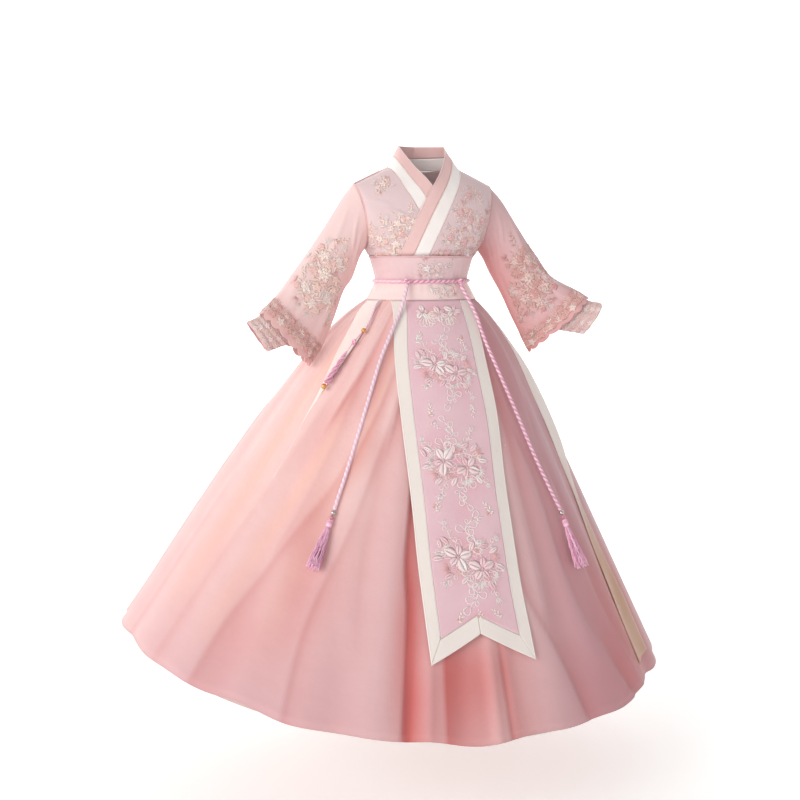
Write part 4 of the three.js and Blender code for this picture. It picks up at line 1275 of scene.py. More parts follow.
@dataclass
class Stitches:
    """Embroidery collected on one face: petals, leaves, stems, loops and knots.

    Places are x and y in millimetres from the anchor, x to the right and y down. A turn is in
    radians from x to y. A tone is 0 for cream, 0.5 for gold or coral and 1 for pink.
    """

    lay: Lay
    seed: int
    builds: list[Build] = field(default_factory=list)
    u: float = 0.0
    v: float = 0.0
    turn: float = 0.0
    size: float = 1.0

    def __post_init__(self) -> None:
        """Starts the seeded draws."""
        self.rng = np.random.default_rng(self.seed)

    def anchor(self, u: float, v: float, turn: float = 0.0, size: float = 1.0) -> Stitches:
        """Moves the spray's origin, its turn in degrees and its size."""
        self.u, self.v, self.turn, self.size = u, v, math.radians(turn), size
        return self

    def threads(self, paths: Array, lift: Amount, wide: Amount, tall: Amount, tone: Amount) -> None:
        """Adds closed strands, each with the same number of rings.

        Args:
            paths: Strands by rings by x and y.
            lift: How far each ring's middle stands over the cloth.
            wide: Half width of each ring.
            tall: Half height of each ring.
            tone: One tone for each strand.
        """
        count, rings = paths.shape[:2]
        beside = quarter(unit(np.gradient(paths, axis=1)))
        turn = np.linspace(0, 2 * math.pi, STRAND_SIDES, endpoint=False)
        wide, tall, lift = (np.broadcast_to(a, (count, rings)) for a in (wide, tall, lift))
        flat = paths[:, :, None] + beside[:, :, None] * (np.cos(turn) * wide[..., None])[..., None]
        high = lift[..., None] + np.sin(turn) * tall[..., None]
        flat = np.concatenate([flat.reshape(count, -1, 2), paths[:, :1], paths[:, -1:]], axis=1)
        high = np.concatenate([high.reshape(count, -1), lift[:, :1], lift[:, -1:]], axis=1)
        sin, cos = math.sin(self.turn), math.cos(self.turn)
        x = (flat[..., 0] * cos - flat[..., 1] * sin) * self.size
        y = (flat[..., 0] * sin + flat[..., 1] * cos) * self.size
        verts = self.lay.points(*self.lay.spread(self.u, self.v, x, y), high)
        wrap = np.arange(rings * STRAND_SIDES).reshape(rings, STRAND_SIDES)
        wrap = np.concatenate([wrap, wrap[:, :1]], axis=1)
        cells = np.concatenate([quads(wrap)[:, [0, 3, 2, 1]], *caps(wrap, rings * STRAND_SIDES, True)])
        each = rings * STRAND_SIDES + 2
        run = np.concatenate([np.repeat(np.linspace(0, 1, rings), STRAND_SIDES), [0.0, 1.0]])
        length = np.linalg.norm(np.diff(paths, axis=1), axis=-1).sum(axis=1)
        side = np.concatenate([np.tile(np.cos(turn), rings), [0.0, 0.0]])
        chart = np.stack([run * length[:, None], side * wide.max(axis=1)[:, None]], -1)
        index = (cells[None] + (np.arange(count) * each)[:, None, None]).reshape(-1, 4)
        tones = np.repeat(np.broadcast_to(tone, (count,)), each)
        uv = chart.reshape(-1, 2)[index].reshape(-1, 2)
        self.builds.append(face_out(Build(verts.reshape(-1, 3), index, uv, {"tone": tones})))

    def petals(
        self, spots: Array, turns: Array, length: Amount, wide: float, tall: float, tone: Amount, curl: float = 0.0
    ) -> None:
        """Adds petals or leaves from their roots, or fine straight stitches where `wide` is small.

        Args:
            spots: The roots.
            turns: Their directions.
            length: How long they are.
            wide: Half width, as a share of the length.
            tall: Half height.
            tone: Their tones.
            curl: How far the tip stands up.
        """
        count = len(spots)
        length = np.broadcast_to(np.asarray(length, float), (count,)) * self.rng.uniform(0.88, 1.12, count)
        if wide < FINE_STITCH:
            s, shape = np.array([0.0, 0.45, 1.0]), np.array([0.5, 1.0, 0.15])
        else:
            s, shape = np.array([0.02, 0.2, 0.5, 0.82, 1.0]), np.array([0.16, 0.72, 1.05, 0.7, 0.08])
        aim = rays(np.asarray(turns, float) + self.rng.uniform(-0.08, 0.08, count))
        bend = quarter(aim) * self.rng.uniform(-0.1, 0.1, count)[:, None]
        bow = aim[:, None] * s[None, :, None] + bend[:, None] * (s**2)[None, :, None]
        lift = 0.34 + tall * 0.5 + curl * (s**2)[None, :] * self.rng.uniform(0.6, 1.4, count)[:, None]
        half = shape[None] * (length * wide)[:, None]
        high = np.maximum(shape * tall, LEAST_TALL)[None]
        self.threads(spots[:, None] + bow * length[:, None, None], lift, half, high, tone)

    def stem(self, line: Line, radius: float, tone: float, rings: int = 11) -> Array:
        """Adds a stem through the given places, and returns its even points."""
        path = np.array(line, float)
        run = lengths(path)
        even = np.stack(Track(np.column_stack([run, path]))(np.linspace(0, run[-1], rings)), -1)
        self.threads(even[None], radius * 0.5, radius, radius * 0.55, tone)
        return even

    def knots(self, spots: Array, radius: float, tone: Amount) -> None:
        """Adds small round knots of thread."""
        s = np.array([-0.9, -0.4, 0.4, 0.9])
        paths = spots[:, None] + np.stack([s * radius, np.zeros(len(s))], -1)[None]
        shape = (np.sqrt(1 - (s * 0.98) ** 2) * radius)[None]
        self.threads(paths, radius * 0.7, shape, shape * 0.9, tone)

    def loops(self, spots: Array, turns: Array, length: float, wide: float, radius: float, tone: float) -> None:
        """Adds open loops of couched thread, each a drop from its root and back."""
        s = np.linspace(0.04, 0.96, 10)
        drop = np.stack([np.sin(np.pi * s) ** 1.1, 0.5 * wide * np.sin(2 * np.pi * s)], -1)
        sin, cos = np.sin(turns)[:, None], np.cos(turns)[:, None]
        scale = (length * self.rng.uniform(0.85, 1.15, len(spots)))[:, None]
        x = spots[:, :1] + (cos * drop[:, 0] - sin * drop[:, 1]) * scale
        y = spots[:, 1:] + (sin * drop[:, 0] + cos * drop[:, 1]) * scale
        self.threads(np.stack([x, y], -1), radius * 0.5 + 0.1, radius, radius * 0.55, tone)

    def fan(self, x: float, y: float, turn: float, spread: float, count: int, length: float, tone: float) -> None:
        """Adds fine straight stitches that spread from one point."""
        turns = turn + np.linspace(-0.5, 0.5, count) * spread
        spots = np.array([x, y]) + rays(turns) * length * 0.15
        self.petals(spots, turns, length * self.rng.uniform(0.6, 1.0, count), 0.045, 0.25, tone)

    def ribbons(self, spots: Array, turns: Array, length: Amount, wide: float, tall: float, tone: Amount) -> None:
        """Adds petals of folded ribbon: two raised halves that meet at both ends round a narrow slit."""
        count = len(spots)
        length = np.broadcast_to(np.asarray(length, float), (count,)) * self.rng.uniform(0.9, 1.1, count)
        s = np.linspace(0.02, 0.98, 7)
        bow = np.sin(np.pi * s) ** 0.8
        aim = rays(turns)[:, None]
        lift = 0.3 + tall * 0.5 * (0.6 + 0.8 * bow[None])
        high = np.maximum(bow * tall, 0.3)[None]
        for side in (-1.0, 1.0):
            half = (length * wide * (0.5 + 0.08 * side))[:, None]
            out = side * bow[None] * half * 0.84
            path = spots[:, None] + aim * (s[None] * length[:, None])[..., None] + quarter(aim) * out[..., None]
            tones = np.clip(tone + 0.12 * side, 0, 1)
            self.threads(path, lift, np.maximum(bow[None] * half, 0.3), high, tones)

    def blossom(self, x: float, y: float, radius: float, tone: float) -> None:
        """Adds a loose flower of five ribbon petals, no two alike, with knots in its heart."""
        turns = self.rng.uniform(0, 2 * math.pi) + np.arange(5) * 0.4 * math.pi + self.rng.uniform(-0.2, 0.2, 5)
        spots = np.array([x, y]) + rays(turns) * radius * 0.14
        reach = radius * np.array([1.2, 0.8, 1.05, 0.75, 0.95])
        self.ribbons(spots, turns, reach, 0.4, 0.75, tone + np.array([-0.15, 0.2, 0.0, 0.25, -0.1]))
        self.knots(np.array([x, y]) + self.rng.uniform(-2, 2, (4, 2)), 1.4, 0.85)

    def flower(self, x: float, y: float, radius: float, tone: float, tall: float, curl: float) -> None:
        """Adds a round flower: a ring of five petals, a smaller ring on it, and a knot in the middle."""
        start = self.rng.uniform(0, 2 * math.pi)
        for ring, (part, high) in enumerate(((1.0, 0.0), (0.6, 0.4))):
            turns = start + ring * math.pi / 5 + np.arange(5) * 2 * math.pi / 5
            tones = np.clip(tone + self.rng.uniform(-0.08, 0.08, 5) - 0.12 * ring, 0, 1)
            spots = np.array([x, y]) + rays(turns) * radius * 0.08
            self.petals(spots, turns, radius * part, 0.4, tall, tones, curl + high)
        self.knots(np.array([[x, y]]), radius * 0.13 + tall * 0.5, 0.45)

    def sprig(self, line: Line, leaves: int, length: float, tone: float, tall: float) -> None:
        """Adds a stem with leaves set alternately along it and one at its tip."""
        path = self.stem(line, 0.4, 0.4)
        places = np.linspace(0.15, 0.97, leaves)
        index, rows = places * (len(path) - 1), np.arange(len(path))
        x, y, run_x, run_y = (np.interp(index, rows, a) for a in (*path.T, *np.gradient(path, axis=0).T))
        sides = np.where(np.arange(leaves) % 2 == 0, 0.8, -0.8)
        sides[-1] = 0.0
        sizes = length * (1.0 - 0.35 * places)
        tones = np.clip(tone + self.rng.uniform(-0.12, 0.12, leaves), 0, 1)
        self.petals(np.stack([x, y], -1), np.arctan2(run_y, run_x) + sides, sizes, 0.22, tall, tones)

    def build(self, name: str, finish: Finish, slot: str) -> bpy.types.Object:
        """Joins the stitches into one piece that rides on the body."""
        return add_piece(name, merge(self.builds), finish, slot)


def seam_thread(
    name: str, lay: Lay, us: Amount, vs: Amount, radius: float, tone: float, finish: Finish, slot: str
) -> None:
    """A line of thread sewn along u and v on a face.

    Args:
        name: The piece's name.
        lay: The face.
        us: The line's u, or one for the whole line.
        vs: The line's v, or one for the whole line.
        radius: The thread's radius.
        tone: The thread's tone.
        finish: Its finish.
        slot: The record's material slot; not used.
    """
    us, vs = np.broadcast_arrays(np.asarray(us, float), np.asarray(vs, float))
    build = tube(lay.points(us, vs, np.full(len(us), radius * 0.6)), radius, 4)
    build.values["tone"] = np.full(len(build.verts), tone)
    add_piece(name, build, finish, slot)


class Side(Enum):
    """The wearer's own sides; the value is the sign of x there."""

    LEFT = 1
    RIGHT = -1

    @property
    def word(self) -> str:
        """The side's name inside a piece's name."""
        return self.name.lower()


def level(value: float) -> Surface:
    """A height that is the same everywhere."""
    return lambda u, v: np.full(np.shape(u), value)


# ---- Top ----


@dataclass
class Top:
    """The crossed top: back, two fronts and the two bands of the collar."""

    columns: int = 76
    rows: int = 68
    creases: Line = (
        (20, 8, 88, 40, 5, 0.9),
        (30, 30, 94, 66, 4, 0.8),
        (12, 60, 70, 96, 5, 0.8),
        (50, 4, 62, 50, 4, -0.7),
        (70, 6, 84, 44, 4, 0.7),
        (40, 90, 96, 120, 5, 0.7),
    )
    lays: dict[str, Lay] = field(default_factory=dict)

    def folds(self, across: Array, up: Array) -> Array:
        """Soft creases that fade at the seams, with small gathers over the sash."""
        inside = share(across, 0.0, 0.12) * share(1 - across, 0.0, 0.12)
        gathers = np.sin(across * 61) * 0.5 * np.exp(-up / 0.06)
        return (ridges(across * 100, up * 150, self.creases) + gathers) * inside * share(1 - up, 0.0, 0.1)

    def front_height(self, lap: bool) -> Surface:
        """How far a front lies out from its form: the lap, the blouse over the sash, and creases."""

        def height(across: Array, at: Array) -> Array:
            """The height at each place."""
            over = lap_lift(at) * share(1 - across, 0.0, 0.2) if lap else 0.0
            blouse = BLOUSE * dome(at - 0.935, 0.05) * ease(share(across, 0.5, 0.85))
            return over + blouse + self.folds(across, (1 - at) / (1 - NECK_AT))

        return height

    def back_height(self, across: Array, up: Array) -> Array:
        """The same for the back."""
        middle = share(1 - np.abs(across), 0, 0.1)
        crease = self.folds(np.abs(across) * 0.5 + 0.25 * (across + 1), up) * middle
        return crease + BLOUSE * dome(up - 0.08, 0.06)

    def build(self) -> None:
        """Makes the fronts, the back and the collar."""
        us, vs = np.linspace(0, 1, self.columns), np.linspace(NECK_AT, 1, self.rows)
        for side in Side:
            name, form, height = side.word, front_form(side.value), self.front_height(side is Side.LEFT)
            lay = self.lays[name] = Lay(form, height, -side.value)
            build = cloth(form, us, vs, outward=-side.value, lift=height)
            obj = add_piece(f"front_{name}", build, BODICE, "bodice_organza", f"bodice_front_{name}")
            armhole, shoulder = np.linspace(NECK_AT, 0.87, 110), np.linspace(0.0, 1.0, 60)
            seam_thread(f"armhole_{name}", lay, 1.0, armhole, 0.9, 0.85, THREAD, "bodice_organza")
            seam_thread(f"shoulder_{name}", lay, shoulder, NECK_AT, 1.2, 0.85, THREAD, "bodice_organza")
        us, vs = np.linspace(-1, 1, 3 * self.columns // 2), np.linspace(0, 1, self.rows)
        self.lays["back"] = Lay(back_form, self.back_height, -1.0)
        build = cloth(back_form, us, vs, outward=-1, lift=self.back_height)
        obj = add_piece("back", build, BODICE, "bodice_organza", "bodice_back")
        self.collar()

    def collar(self) -> None:
        """Makes the cream and the pink band, with edge lines and a line of stitches."""
        half = np.concatenate([np.linspace(0, NECK_AT, 30)[:-1], np.linspace(NECK_AT, 1, 100)])
        path = np.concatenate([-half[:0:-1], half])

        def lift(way: Array, across: Array) -> Array:
            """The outer lap, with a faint wave between a band's edges."""
            edge = share(across, 0.0, 0.05) * share(COLLAR_SPLIT - across, 0.0, 0.05)
            wave = 0.35 * np.sin(way * 37 + 3 * across) * np.sin(way * 11) * ease(edge)
            return np.where(way > 0, lap_lift(way), 0.0) + wave

        for slot, low, high, finish in (
            ("collar_cream", 0.0, COLLAR_SPLIT, COLLAR_CREAM),
            ("collar_pink", COLLAR_SPLIT + 0.007, 1.0, COLLAR_PINK),
        ):
            build = cloth(collar_form, path, np.linspace(low, high, 10), outward=-1, lift=lift)
            obj = add_piece(f"{slot}_band", build, finish, slot, slot)
        face, line = Lay(collar_form, lift, -1.0), np.linspace(-0.995, 0.995, 320)
        for name, across, tone, radius in (
            ("low", 0.012, 0.2, 0.45),
            ("mid", COLLAR_SPLIT + 0.004, 0.7, 0.4),
            ("top", 0.985, 0.1, 0.45),
        ):
            seam_thread(f"collar_edge_{name}", face, line, across, radius, tone, THREAD, "collar_cream")


@dataclass
class Sash:
    """The two satin bands round the waist."""

    columns: int = 280
    rows: int = 16

    def height(self, phi: Array, z: Array) -> Array:
        """Puckers that run up and down from the cord, and long soft creases round the band."""
        turn = np.radians(phi)
        near = np.exp(-np.abs(z - CINCH) / 13)
        pucker = 0.55 * np.sin(turn * 31 + 1.5 * np.sin(turn * 7)) + 0.4 * np.sin(turn * 47 + z * 0.08)
        across = 0.35 * np.sin(z * 0.35 + 2 * np.sin(turn * 3)) * np.sin(turn * 2 + 0.6)
        return 0.35 + (pucker * near + across) * 0.8

    def build(self) -> None:
        """Makes both bands and the seam at their top."""
        us = np.arange(self.columns) * 360.0 / self.columns
        for name, top, bottom, girth, finish in (
            ("upper", -145.0, CINCH + 0.9, 0.53, SASH_PINK),
            ("lower", CINCH - 0.9, SKIRT_TOP, 0.56, SASH_PALE),
        ):
            vs = np.linspace(top, bottom, self.rows)
            build = cloth(band_form, us, vs, closed=True, outward=-1, lift=self.height, wall=1.5)
            obj = add_piece(f"sash_{name}", build, finish, "sash_satin", f"waistband_{name}")
        self.lay = Lay(band_form, self.height, 1.0, step_u=0.1, step_v=0.1)
        line = np.linspace(-179.0, 179.0, 400)
        seam_thread("sash_seam", self.lay, line, -144.2, 1.1, 0.9, THREAD_PALE, "sash_satin")


@dataclass
class Sleeves:
    """The wide sleeves with scalloped hems, and the narrow ones inside them."""

    columns: int = 112
    rows: int = 92
    scallop: float = 0.022
    creases: Line = (
        (60, 2, 110, 60, 5, 2.0),
        (100, 4, 135, 80, 6, 2.4),
        (130, 3, 150, 52, 4, -1.8),
        (40, 20, 75, 150, 8, 2.2),
        (80, 70, 96, 230, 9, 2.4),
        (118, 90, 128, 270, 9, 2.6),
        (148, 60, 150, 200, 6, -1.8),
        (20, 100, 44, 250, 9, 1.8),
        (64, 150, 66, 282, 7, -2.0),
        (230, 5, 262, 110, 8, 2.2),
        (255, 80, 250, 240, 9, -2.0),
        (290, 10, 300, 170, 9, 2.0),
        (320, 90, 325, 275, 10, 2.2),
        (205, 30, 218, 180, 8, 2.0),
        (345, 20, 335, 140, 8, -1.6),
    )
    lays: dict[str, Lay] = field(default_factory=dict)
    cuff_lays: dict[str, Lay] = field(default_factory=dict)

    def height(self, side: int) -> Surface:
        """Long creases from the armpit, flutes at the hem, and small gathers at the armhole."""

        def surface(turn: Array, at: Array) -> Array:
            """The height at each turn and station."""
            moved, angle = (turn + (4 if side > 0 else -5)) % 360, np.radians(turn)
            folds = ridges(moved, at * 285, self.creases) * ease(share(at, 0.01, 0.12))
            flutes = (np.sin(angle * 7 + side) + 0.6 * np.sin(angle * 12 + 2 * side)) * share(at, 0.55, 1) ** 2
            gathers = np.sin(angle * 40) * 0.4 * np.exp(-at / 0.03)
            return folds + flutes * 1.5 + gathers * share(at, 0.0, 0.01) + 0.2

        return surface

    def hemmed(self, plain: Surface) -> Surface:
        """A sleeve's form with its hem cut in scallops."""

        def surface(turn: Array, at: Array) -> Array:
            """The form's point, drawn up between the scallops."""
            cut = self.scallop * np.abs(np.sin(np.radians(turn) * 8)) ** 0.7
            return plain(turn, at - (self.scallop - cut) * share(at, 0.93, 1))

        return surface

    @staticmethod
    def ruffle(side: int) -> Surface:
        """The small waves of a cuff, which grow to its edge."""
        return lambda turn, at: 0.9 * np.sin(np.radians(turn) * 9 + side) * share(at, 0.5, 1)

    @staticmethod
    def shade(more: float) -> Surface:
        """Painted shade in deeper pink under the arm (by `more` all the way down) and in the long creases, and deeper
        pink at the hem.
        """

        def deep(turn: Array, at: Array) -> Array:
            """The depth of the pink, from 0 to 1, most of it painted shade."""
            under = (0.35 * (1 - 0.6 * at) + more) * dome(off_turn(turn, 180), 45.0)
            crease = 0.25 * dome(turn - 120, 25.0) * dome(at - 0.35, 0.3)
            return np.clip(under + crease + 0.38 * ease(share(at, 0.72, 0.98)), 0, 1)

        return deep

    def build(self) -> None:
        """Makes both pairs."""
        us = np.arange(self.columns) * 360.0 / self.columns
        vs = np.concatenate([np.linspace(0.0, 0.9, self.rows - 24), np.linspace(0.91, 1.0, 24)])
        for which, rows, cuff in ((Side.RIGHT, SLEEVE_RIGHT, CUFF_RIGHT), (Side.LEFT, SLEEVE_LEFT, CUFF_LEFT)):
            name, side = which.word, which.value
            # The left sleeve, away from the light, gets more painted shade under the arm and painted mauve shade all
            # over.
            under, cool = (0.45, 0.7) if which is Side.LEFT else (0.0, 0.0)
            plain = sleeve_form(rows, side)
            form, height = self.hemmed(plain), self.height(side)
            values = {"deep": self.shade(under), "cool": level(cool)}
            build = cloth(form, us, vs, closed=True, outward=side, lift=height, values=values)
            obj = add_piece(f"wide_sleeve_{name}", build, ORGANZA, "sleeve_organza", f"sleeve_{name}")
            self.lays[name] = Lay(form, height, side, step_u=0.1)
            form, height, down = cuff_form(cuff, plain, side), self.ruffle(side), np.linspace(0, 1, 46)
            values = {"deep": level(0.15)}
            build = cloth(form, us[::2], down, closed=True, outward=side, lift=height, values=values)
            obj = add_piece(f"inner_sleeve_{name}", build, CUFF, "cuff_lace", f"undersleeve_{name}")
            self.cuff_lays[name] = Lay(form, height, side, step_u=0.1)


# ---- Skirt ----


@dataclass
class Skirt:
    """The outer skirt, the layer under it, and the two side ribbons."""

    rows: int = 64
    right: Line = (
        (0.001, -70.5, 28), (0.055, -60, 29), (0.1, -57.3, 26), (0.16, -57, 21), (0.22, -57.5, 12), (0.28, -58.2, 5),
        (0.49, -60, 3),
    )  # fmt: skip
    left: Line = (
        (0.001, 76, 14), (0.12, 71, 22), (0.24, 67.5, 32), (0.36, 65, 30), (0.46, 62.5, 18), (0.56, 60.5, 16),
        (0.66, 59.5, 36), (0.78, 59, 64), (0.955, 58.6, 82),
    )  # fmt: skip

    @staticmethod
    def hem(phi: Array) -> Array:
        """How much longer or shorter the cloth hangs, as a share of its cut."""
        turn = np.radians(phi)
        front, ribbon = 0.008 * dome(phi + 14, 36.0), 0.012 * dome(off_turn(phi, 57), 5.0)
        return 0.006 + front + 0.0035 * np.sin(turn * 11 + 1.0) + 0.003 * np.sin(turn * 19 + 0.5) - ribbon

    def build(self) -> None:
        """Makes the skirt's layers and the ribbons."""
        us = np.concatenate([np.linspace(-95, 95, 355), np.linspace(95, 265, 127)[1:-1]])
        vs = np.concatenate([[-0.006, -0.001], np.linspace(0.004, 0.12, 14), np.linspace(0.13, 1.0, self.rows - 16)])
        form = lambda phi, down: skirt_form(phi, down * (1 + self.hem(phi)))
        values = {"deep": skirt_dye_and_shade, "cool": skirt_painted_shade, "warm": skirt_peach_highlight}
        build = cloth(form, us, vs, closed=True, outward=-1, lift=skirt_out, values=values)
        outer = add_piece("tulle_skirt", build, TULLE, "skirt_tulle", "skirt_outer")
        form = lambda phi, down: skirt_form(phi, down, 0.0, 11.0)
        lift = lambda phi, down: skirt_out(phi, down) - mix(2.6, 8.0, share(down, 0, 0.12))
        values = {"deep": level(0.1)}
        build = cloth(form, us[::2], vs[::3] * 0.993, closed=True, outward=-1, lift=lift, values=values)
        under = add_piece("satin_skirt", build, UNDERSKIRT, "underskirt_satin", "skirt_under")
        # The last number is each ribbon's painted tan shade; the left one hangs on the shaded side.
        self.ribbon(Side.RIGHT, Track(self.right), (0.029, 0.37), 0.2)
        self.ribbon(Side.LEFT, Track(self.left), (0.054, 0.72), 0.95)

    def ribbon(self, side: Side, rows: Track, flat: tuple[float, float], tan_shade: float) -> None:
        """Makes a ribbon, a strip that turns edge-on as it goes down.

        Args:
            side: Which side it hangs on.
            rows: Its turn and its width at each part of the way down.
            flat: Its cut, in metres; not used.
            tan_shade: How far painted shade turns its lower part tan.
        """

        def surface(across: Array, down: Array) -> Array:
            """The ribbon's point; the left one lies on the skirt's folds."""
            phi, wide = rows(down)
            middle = skirt_form(phi, down)
            radius = np.hypot(middle[..., 0] - HEM_MIDDLE[0], middle[..., 1] - HEM_MIDDLE[1])
            turn, out = phi + np.degrees(across * wide / radius), 12.0
            if side is Side.LEFT:
                out = skirt_out(turn, down) + 2.2 + 9.0 * (across + 0.5) * dome(down - 0.27, 0.2)
            return skirt_form(turn, down, out)

        us, vs = np.linspace(-0.5, 0.5, 12), np.linspace(rows.at[0], rows.at[-1], 100)
        lift = lambda across, down: 0.5 * np.sin(across * 5 + down * 30)
        # Painted shade: the ribbon's lower part turns tan.
        values = {"deep": lambda across, down: share(down, 0.42, 0.7) * tan_shade}
        build = cloth(surface, us, vs, outward=-1, lift=lift, wall=1.0, values=values)
        name = side.word
        obj = add_piece(f"ribbon_{name}", build, RIBBON, "ribbon_cream", f"side_ribbon_{name}")


@dataclass
class Panel:
    """The embroidered front panel with its cream borders and swallow tails."""

    blushes: Line = (
        (-20, 0.155, 26, 0.04, 0.5),
        (22, 0.19, 24, 0.04, 0.45),
        (-4, 0.03, 40, 0.022, 0.4),
        (-22, 0.375, 26, 0.045, 0.5),
        (20, 0.415, 24, 0.04, 0.55),
        (0, 0.5, 18, 0.03, 0.2),
        (-14, 0.6, 30, 0.045, 0.5),
        (26, 0.64, 22, 0.04, 0.5),
        (4, 0.74, 34, 0.025, 0.35),
    )

    @staticmethod
    def half(down: Array) -> Array:
        """Half the panel's width."""
        return PANEL(down)[0]

    @staticmethod
    def height(place: Array, down: Array) -> Array:
        """Soft ripples over the skirt's folds."""
        long, short = np.sin(down * 23 + place * 0.02), np.sin(place * 0.07 + down * 9)
        return 0.9 * long * share(down, 0.03, 0.2) + 0.6 * short * share(down, 0, 0.3)

    def blush(self, place: Array, down: Array) -> Array:
        """Pinker ground round each cluster of flowers."""
        return sum(much * dome(place - x, wide) * dome(down - at, tall) for x, at, wide, tall, much in self.blushes)

    def strip(self, spot: Place, us: Array, vs: Array, out: int = -1) -> Build:
        """Builds a strip of the panel.

        Args:
            spot: The place on the panel and how far down it is, at each part across and along.
            us: The parts across.
            vs: The parts along.
            out: Which side of the form faces out.

        Returns:
            The strip's wall.
        """
        form = lambda across, part: panel_form(*spot(across, part))
        lift = lambda across, part: self.height(*spot(across, part))
        values = {"deep": lambda across, part: self.blush(*spot(across, part))}
        return cloth(form, us, vs, outward=out, lift=lift, values=values)

    def between(self, left: Edge, right: Edge, end: Edge) -> Place:
        """Places from one long edge to another, from the top down to `end`."""

        def spot(across: Array, part: Array) -> tuple[Array, Array]:
            """A place on the panel and how far down it is."""
            down = mix(PANEL_TOP, end(across), part)
            return mix(left(down), right(down), across), down

        return spot

    def build(self) -> None:
        """Makes the centre, the side borders, the tail borders and the seams."""
        rows, rests_on = np.linspace(0, 1, 150), ["waistband_lower"]
        inner = lambda down: self.half(down) - PANEL_BORDER - SEAM
        end = lambda across: tail_end((2 * across - 1) * MITRE) - TAIL_BORDER
        build = self.strip(self.between(lambda down: -inner(down), inner, end), np.linspace(0, 1, 56), rows)
        obj = add_piece("panel_ground", build, PANEL_LACE, "panel_lace", "panel_centre")
        mitre_end = float(tail_end(np.array(MITRE))) - TAIL_BORDER
        for which in Side:
            name, side = which.word, which.value
            near = lambda down, side=side: side * (self.half(down) - PANEL_BORDER)
            far = lambda down, side=side: side * self.half(down)
            edges, ends = (near, far), (mitre_end, PANEL_TIP)
            if which is Side.RIGHT:
                edges, ends = (far, near), (PANEL_TIP, mitre_end)
            spot = self.between(*edges, lambda across, ends=ends: mix(*ends, across))
            build = self.strip(spot, np.linspace(0, 1, 10), rows)
            obj = add_piece(f"border_{name}", build, BORDER, "border_cream", f"panel_border_{name}")
            self.tail(name, side)
        self.lay = Lay(panel_form, self.height, -1.0, step_u=0.1)
        for which in Side:
            for part, inset, radius, last in (
                ("outer", 1.6, 0.35, 0.835),
                ("inner", PANEL_BORDER - 0.4, 0.45, 0.778),
            ):
                run = np.linspace(0.003, last, 320)
                place = which.value * (self.half(run) - inset)
                name = f"border_seam_{part}_{which.word}"
                seam_thread(name, self.lay, place, run, radius, 0.0, THREAD, "border_cream")

    def tail(self, name: str, side: int) -> None:
        """Makes the border of one tail, from the notch to its mitre.

        Args:
            name: The side's word.
            side: The sign of x there.
        """

        def spot(across: Array, part: Array) -> tuple[Array, Array]:
            """A place on the tail's border and how far down it is."""
            inner = MITRE * across
            down = mix(tail_end(inner) - TAIL_BORDER + 2 * SEAM / CUT, tail_end(across), part)
            return side * (mix(inner, across, part) * 0.994 * self.half(down) + SEAM), down

        build = self.strip(spot, np.linspace(0, 1, 60), np.linspace(0, 1, 14), -side)
        obj = add_piece(f"tail_{name}", build, BORDER, "border_cream", f"panel_tail_{name}")


# ---- Cords and tassels ----


STRANDS_OUT = 3.25
THIN_OUT = 1.95
BELT_OUT = 2.7
CHAIN_START = 0.6
FLOSS_THREAD = 0.65
END_RIGHT = (
    (-48.4, -70.4, -195.6), (-54, -79, -207), (-61, -88, -223), (-71, -96, -244), (-87, -111, -268),
    (-103, -124, -295), (-118, -135, -323), (-129, -144, -348), (-156, -165, -414), (-194, -195, -503),
    (-223, -217, -566),
)  # fmt: skip
END_LEFT = (
    (53.4, -67.4, -195.6), (58, -76, -209), (65, -83, -225), (73, -97, -249), (76, -115, -275),
    (82, -131, -303), (102, -149, -359), (125, -162, -418), (149, -178, -484), (175, -193, -547),
    (195, -204, -592),
)  # fmt: skip
DROP_RIGHT = ((-223, -217, -566), (-230, -223, -580), (-249, -241, -619), (-268, -252, -652), (-284, -262, -682))
DROP_LEFT = ((195, -204, -592), (198, -213, -609), (211, -235, -659), (222, -248, -695), (228, -256, -719))
PENDANT_CORD = ((-93.7, -46.4, -224), (-102, -55, -230), (-111, -66, -243), (-121, -77, -259), (-128, -82, -267))
PENDANT_DROP = (
    (-128, -82, -267), (-135, -86, -275), (-148, -89, -287), (-170, -96, -312), (-194, -104, -344),
    (-214, -108, -371), (-229, -111, -392),
)  # fmt: skip


def twisted(path: Array, radius: float, pitch: float, sides: int = 10, ring: bool = False) -> Build:
    """A cord of two strands that turn once a pitch."""
    return tube(path, radius, sides, 2, pitch, 0.2, ring=ring)


def ball(start: Array, end: Array) -> Build:
    """A ball between two points."""
    radius = float(np.linalg.norm(end - start)) / 2
    turn = np.linspace(0.02, math.pi - 0.02, 15)
    return spun(np.column_stack([np.sin(turn) * radius, (1 - np.cos(turn)) * radius]), start, end, 24)


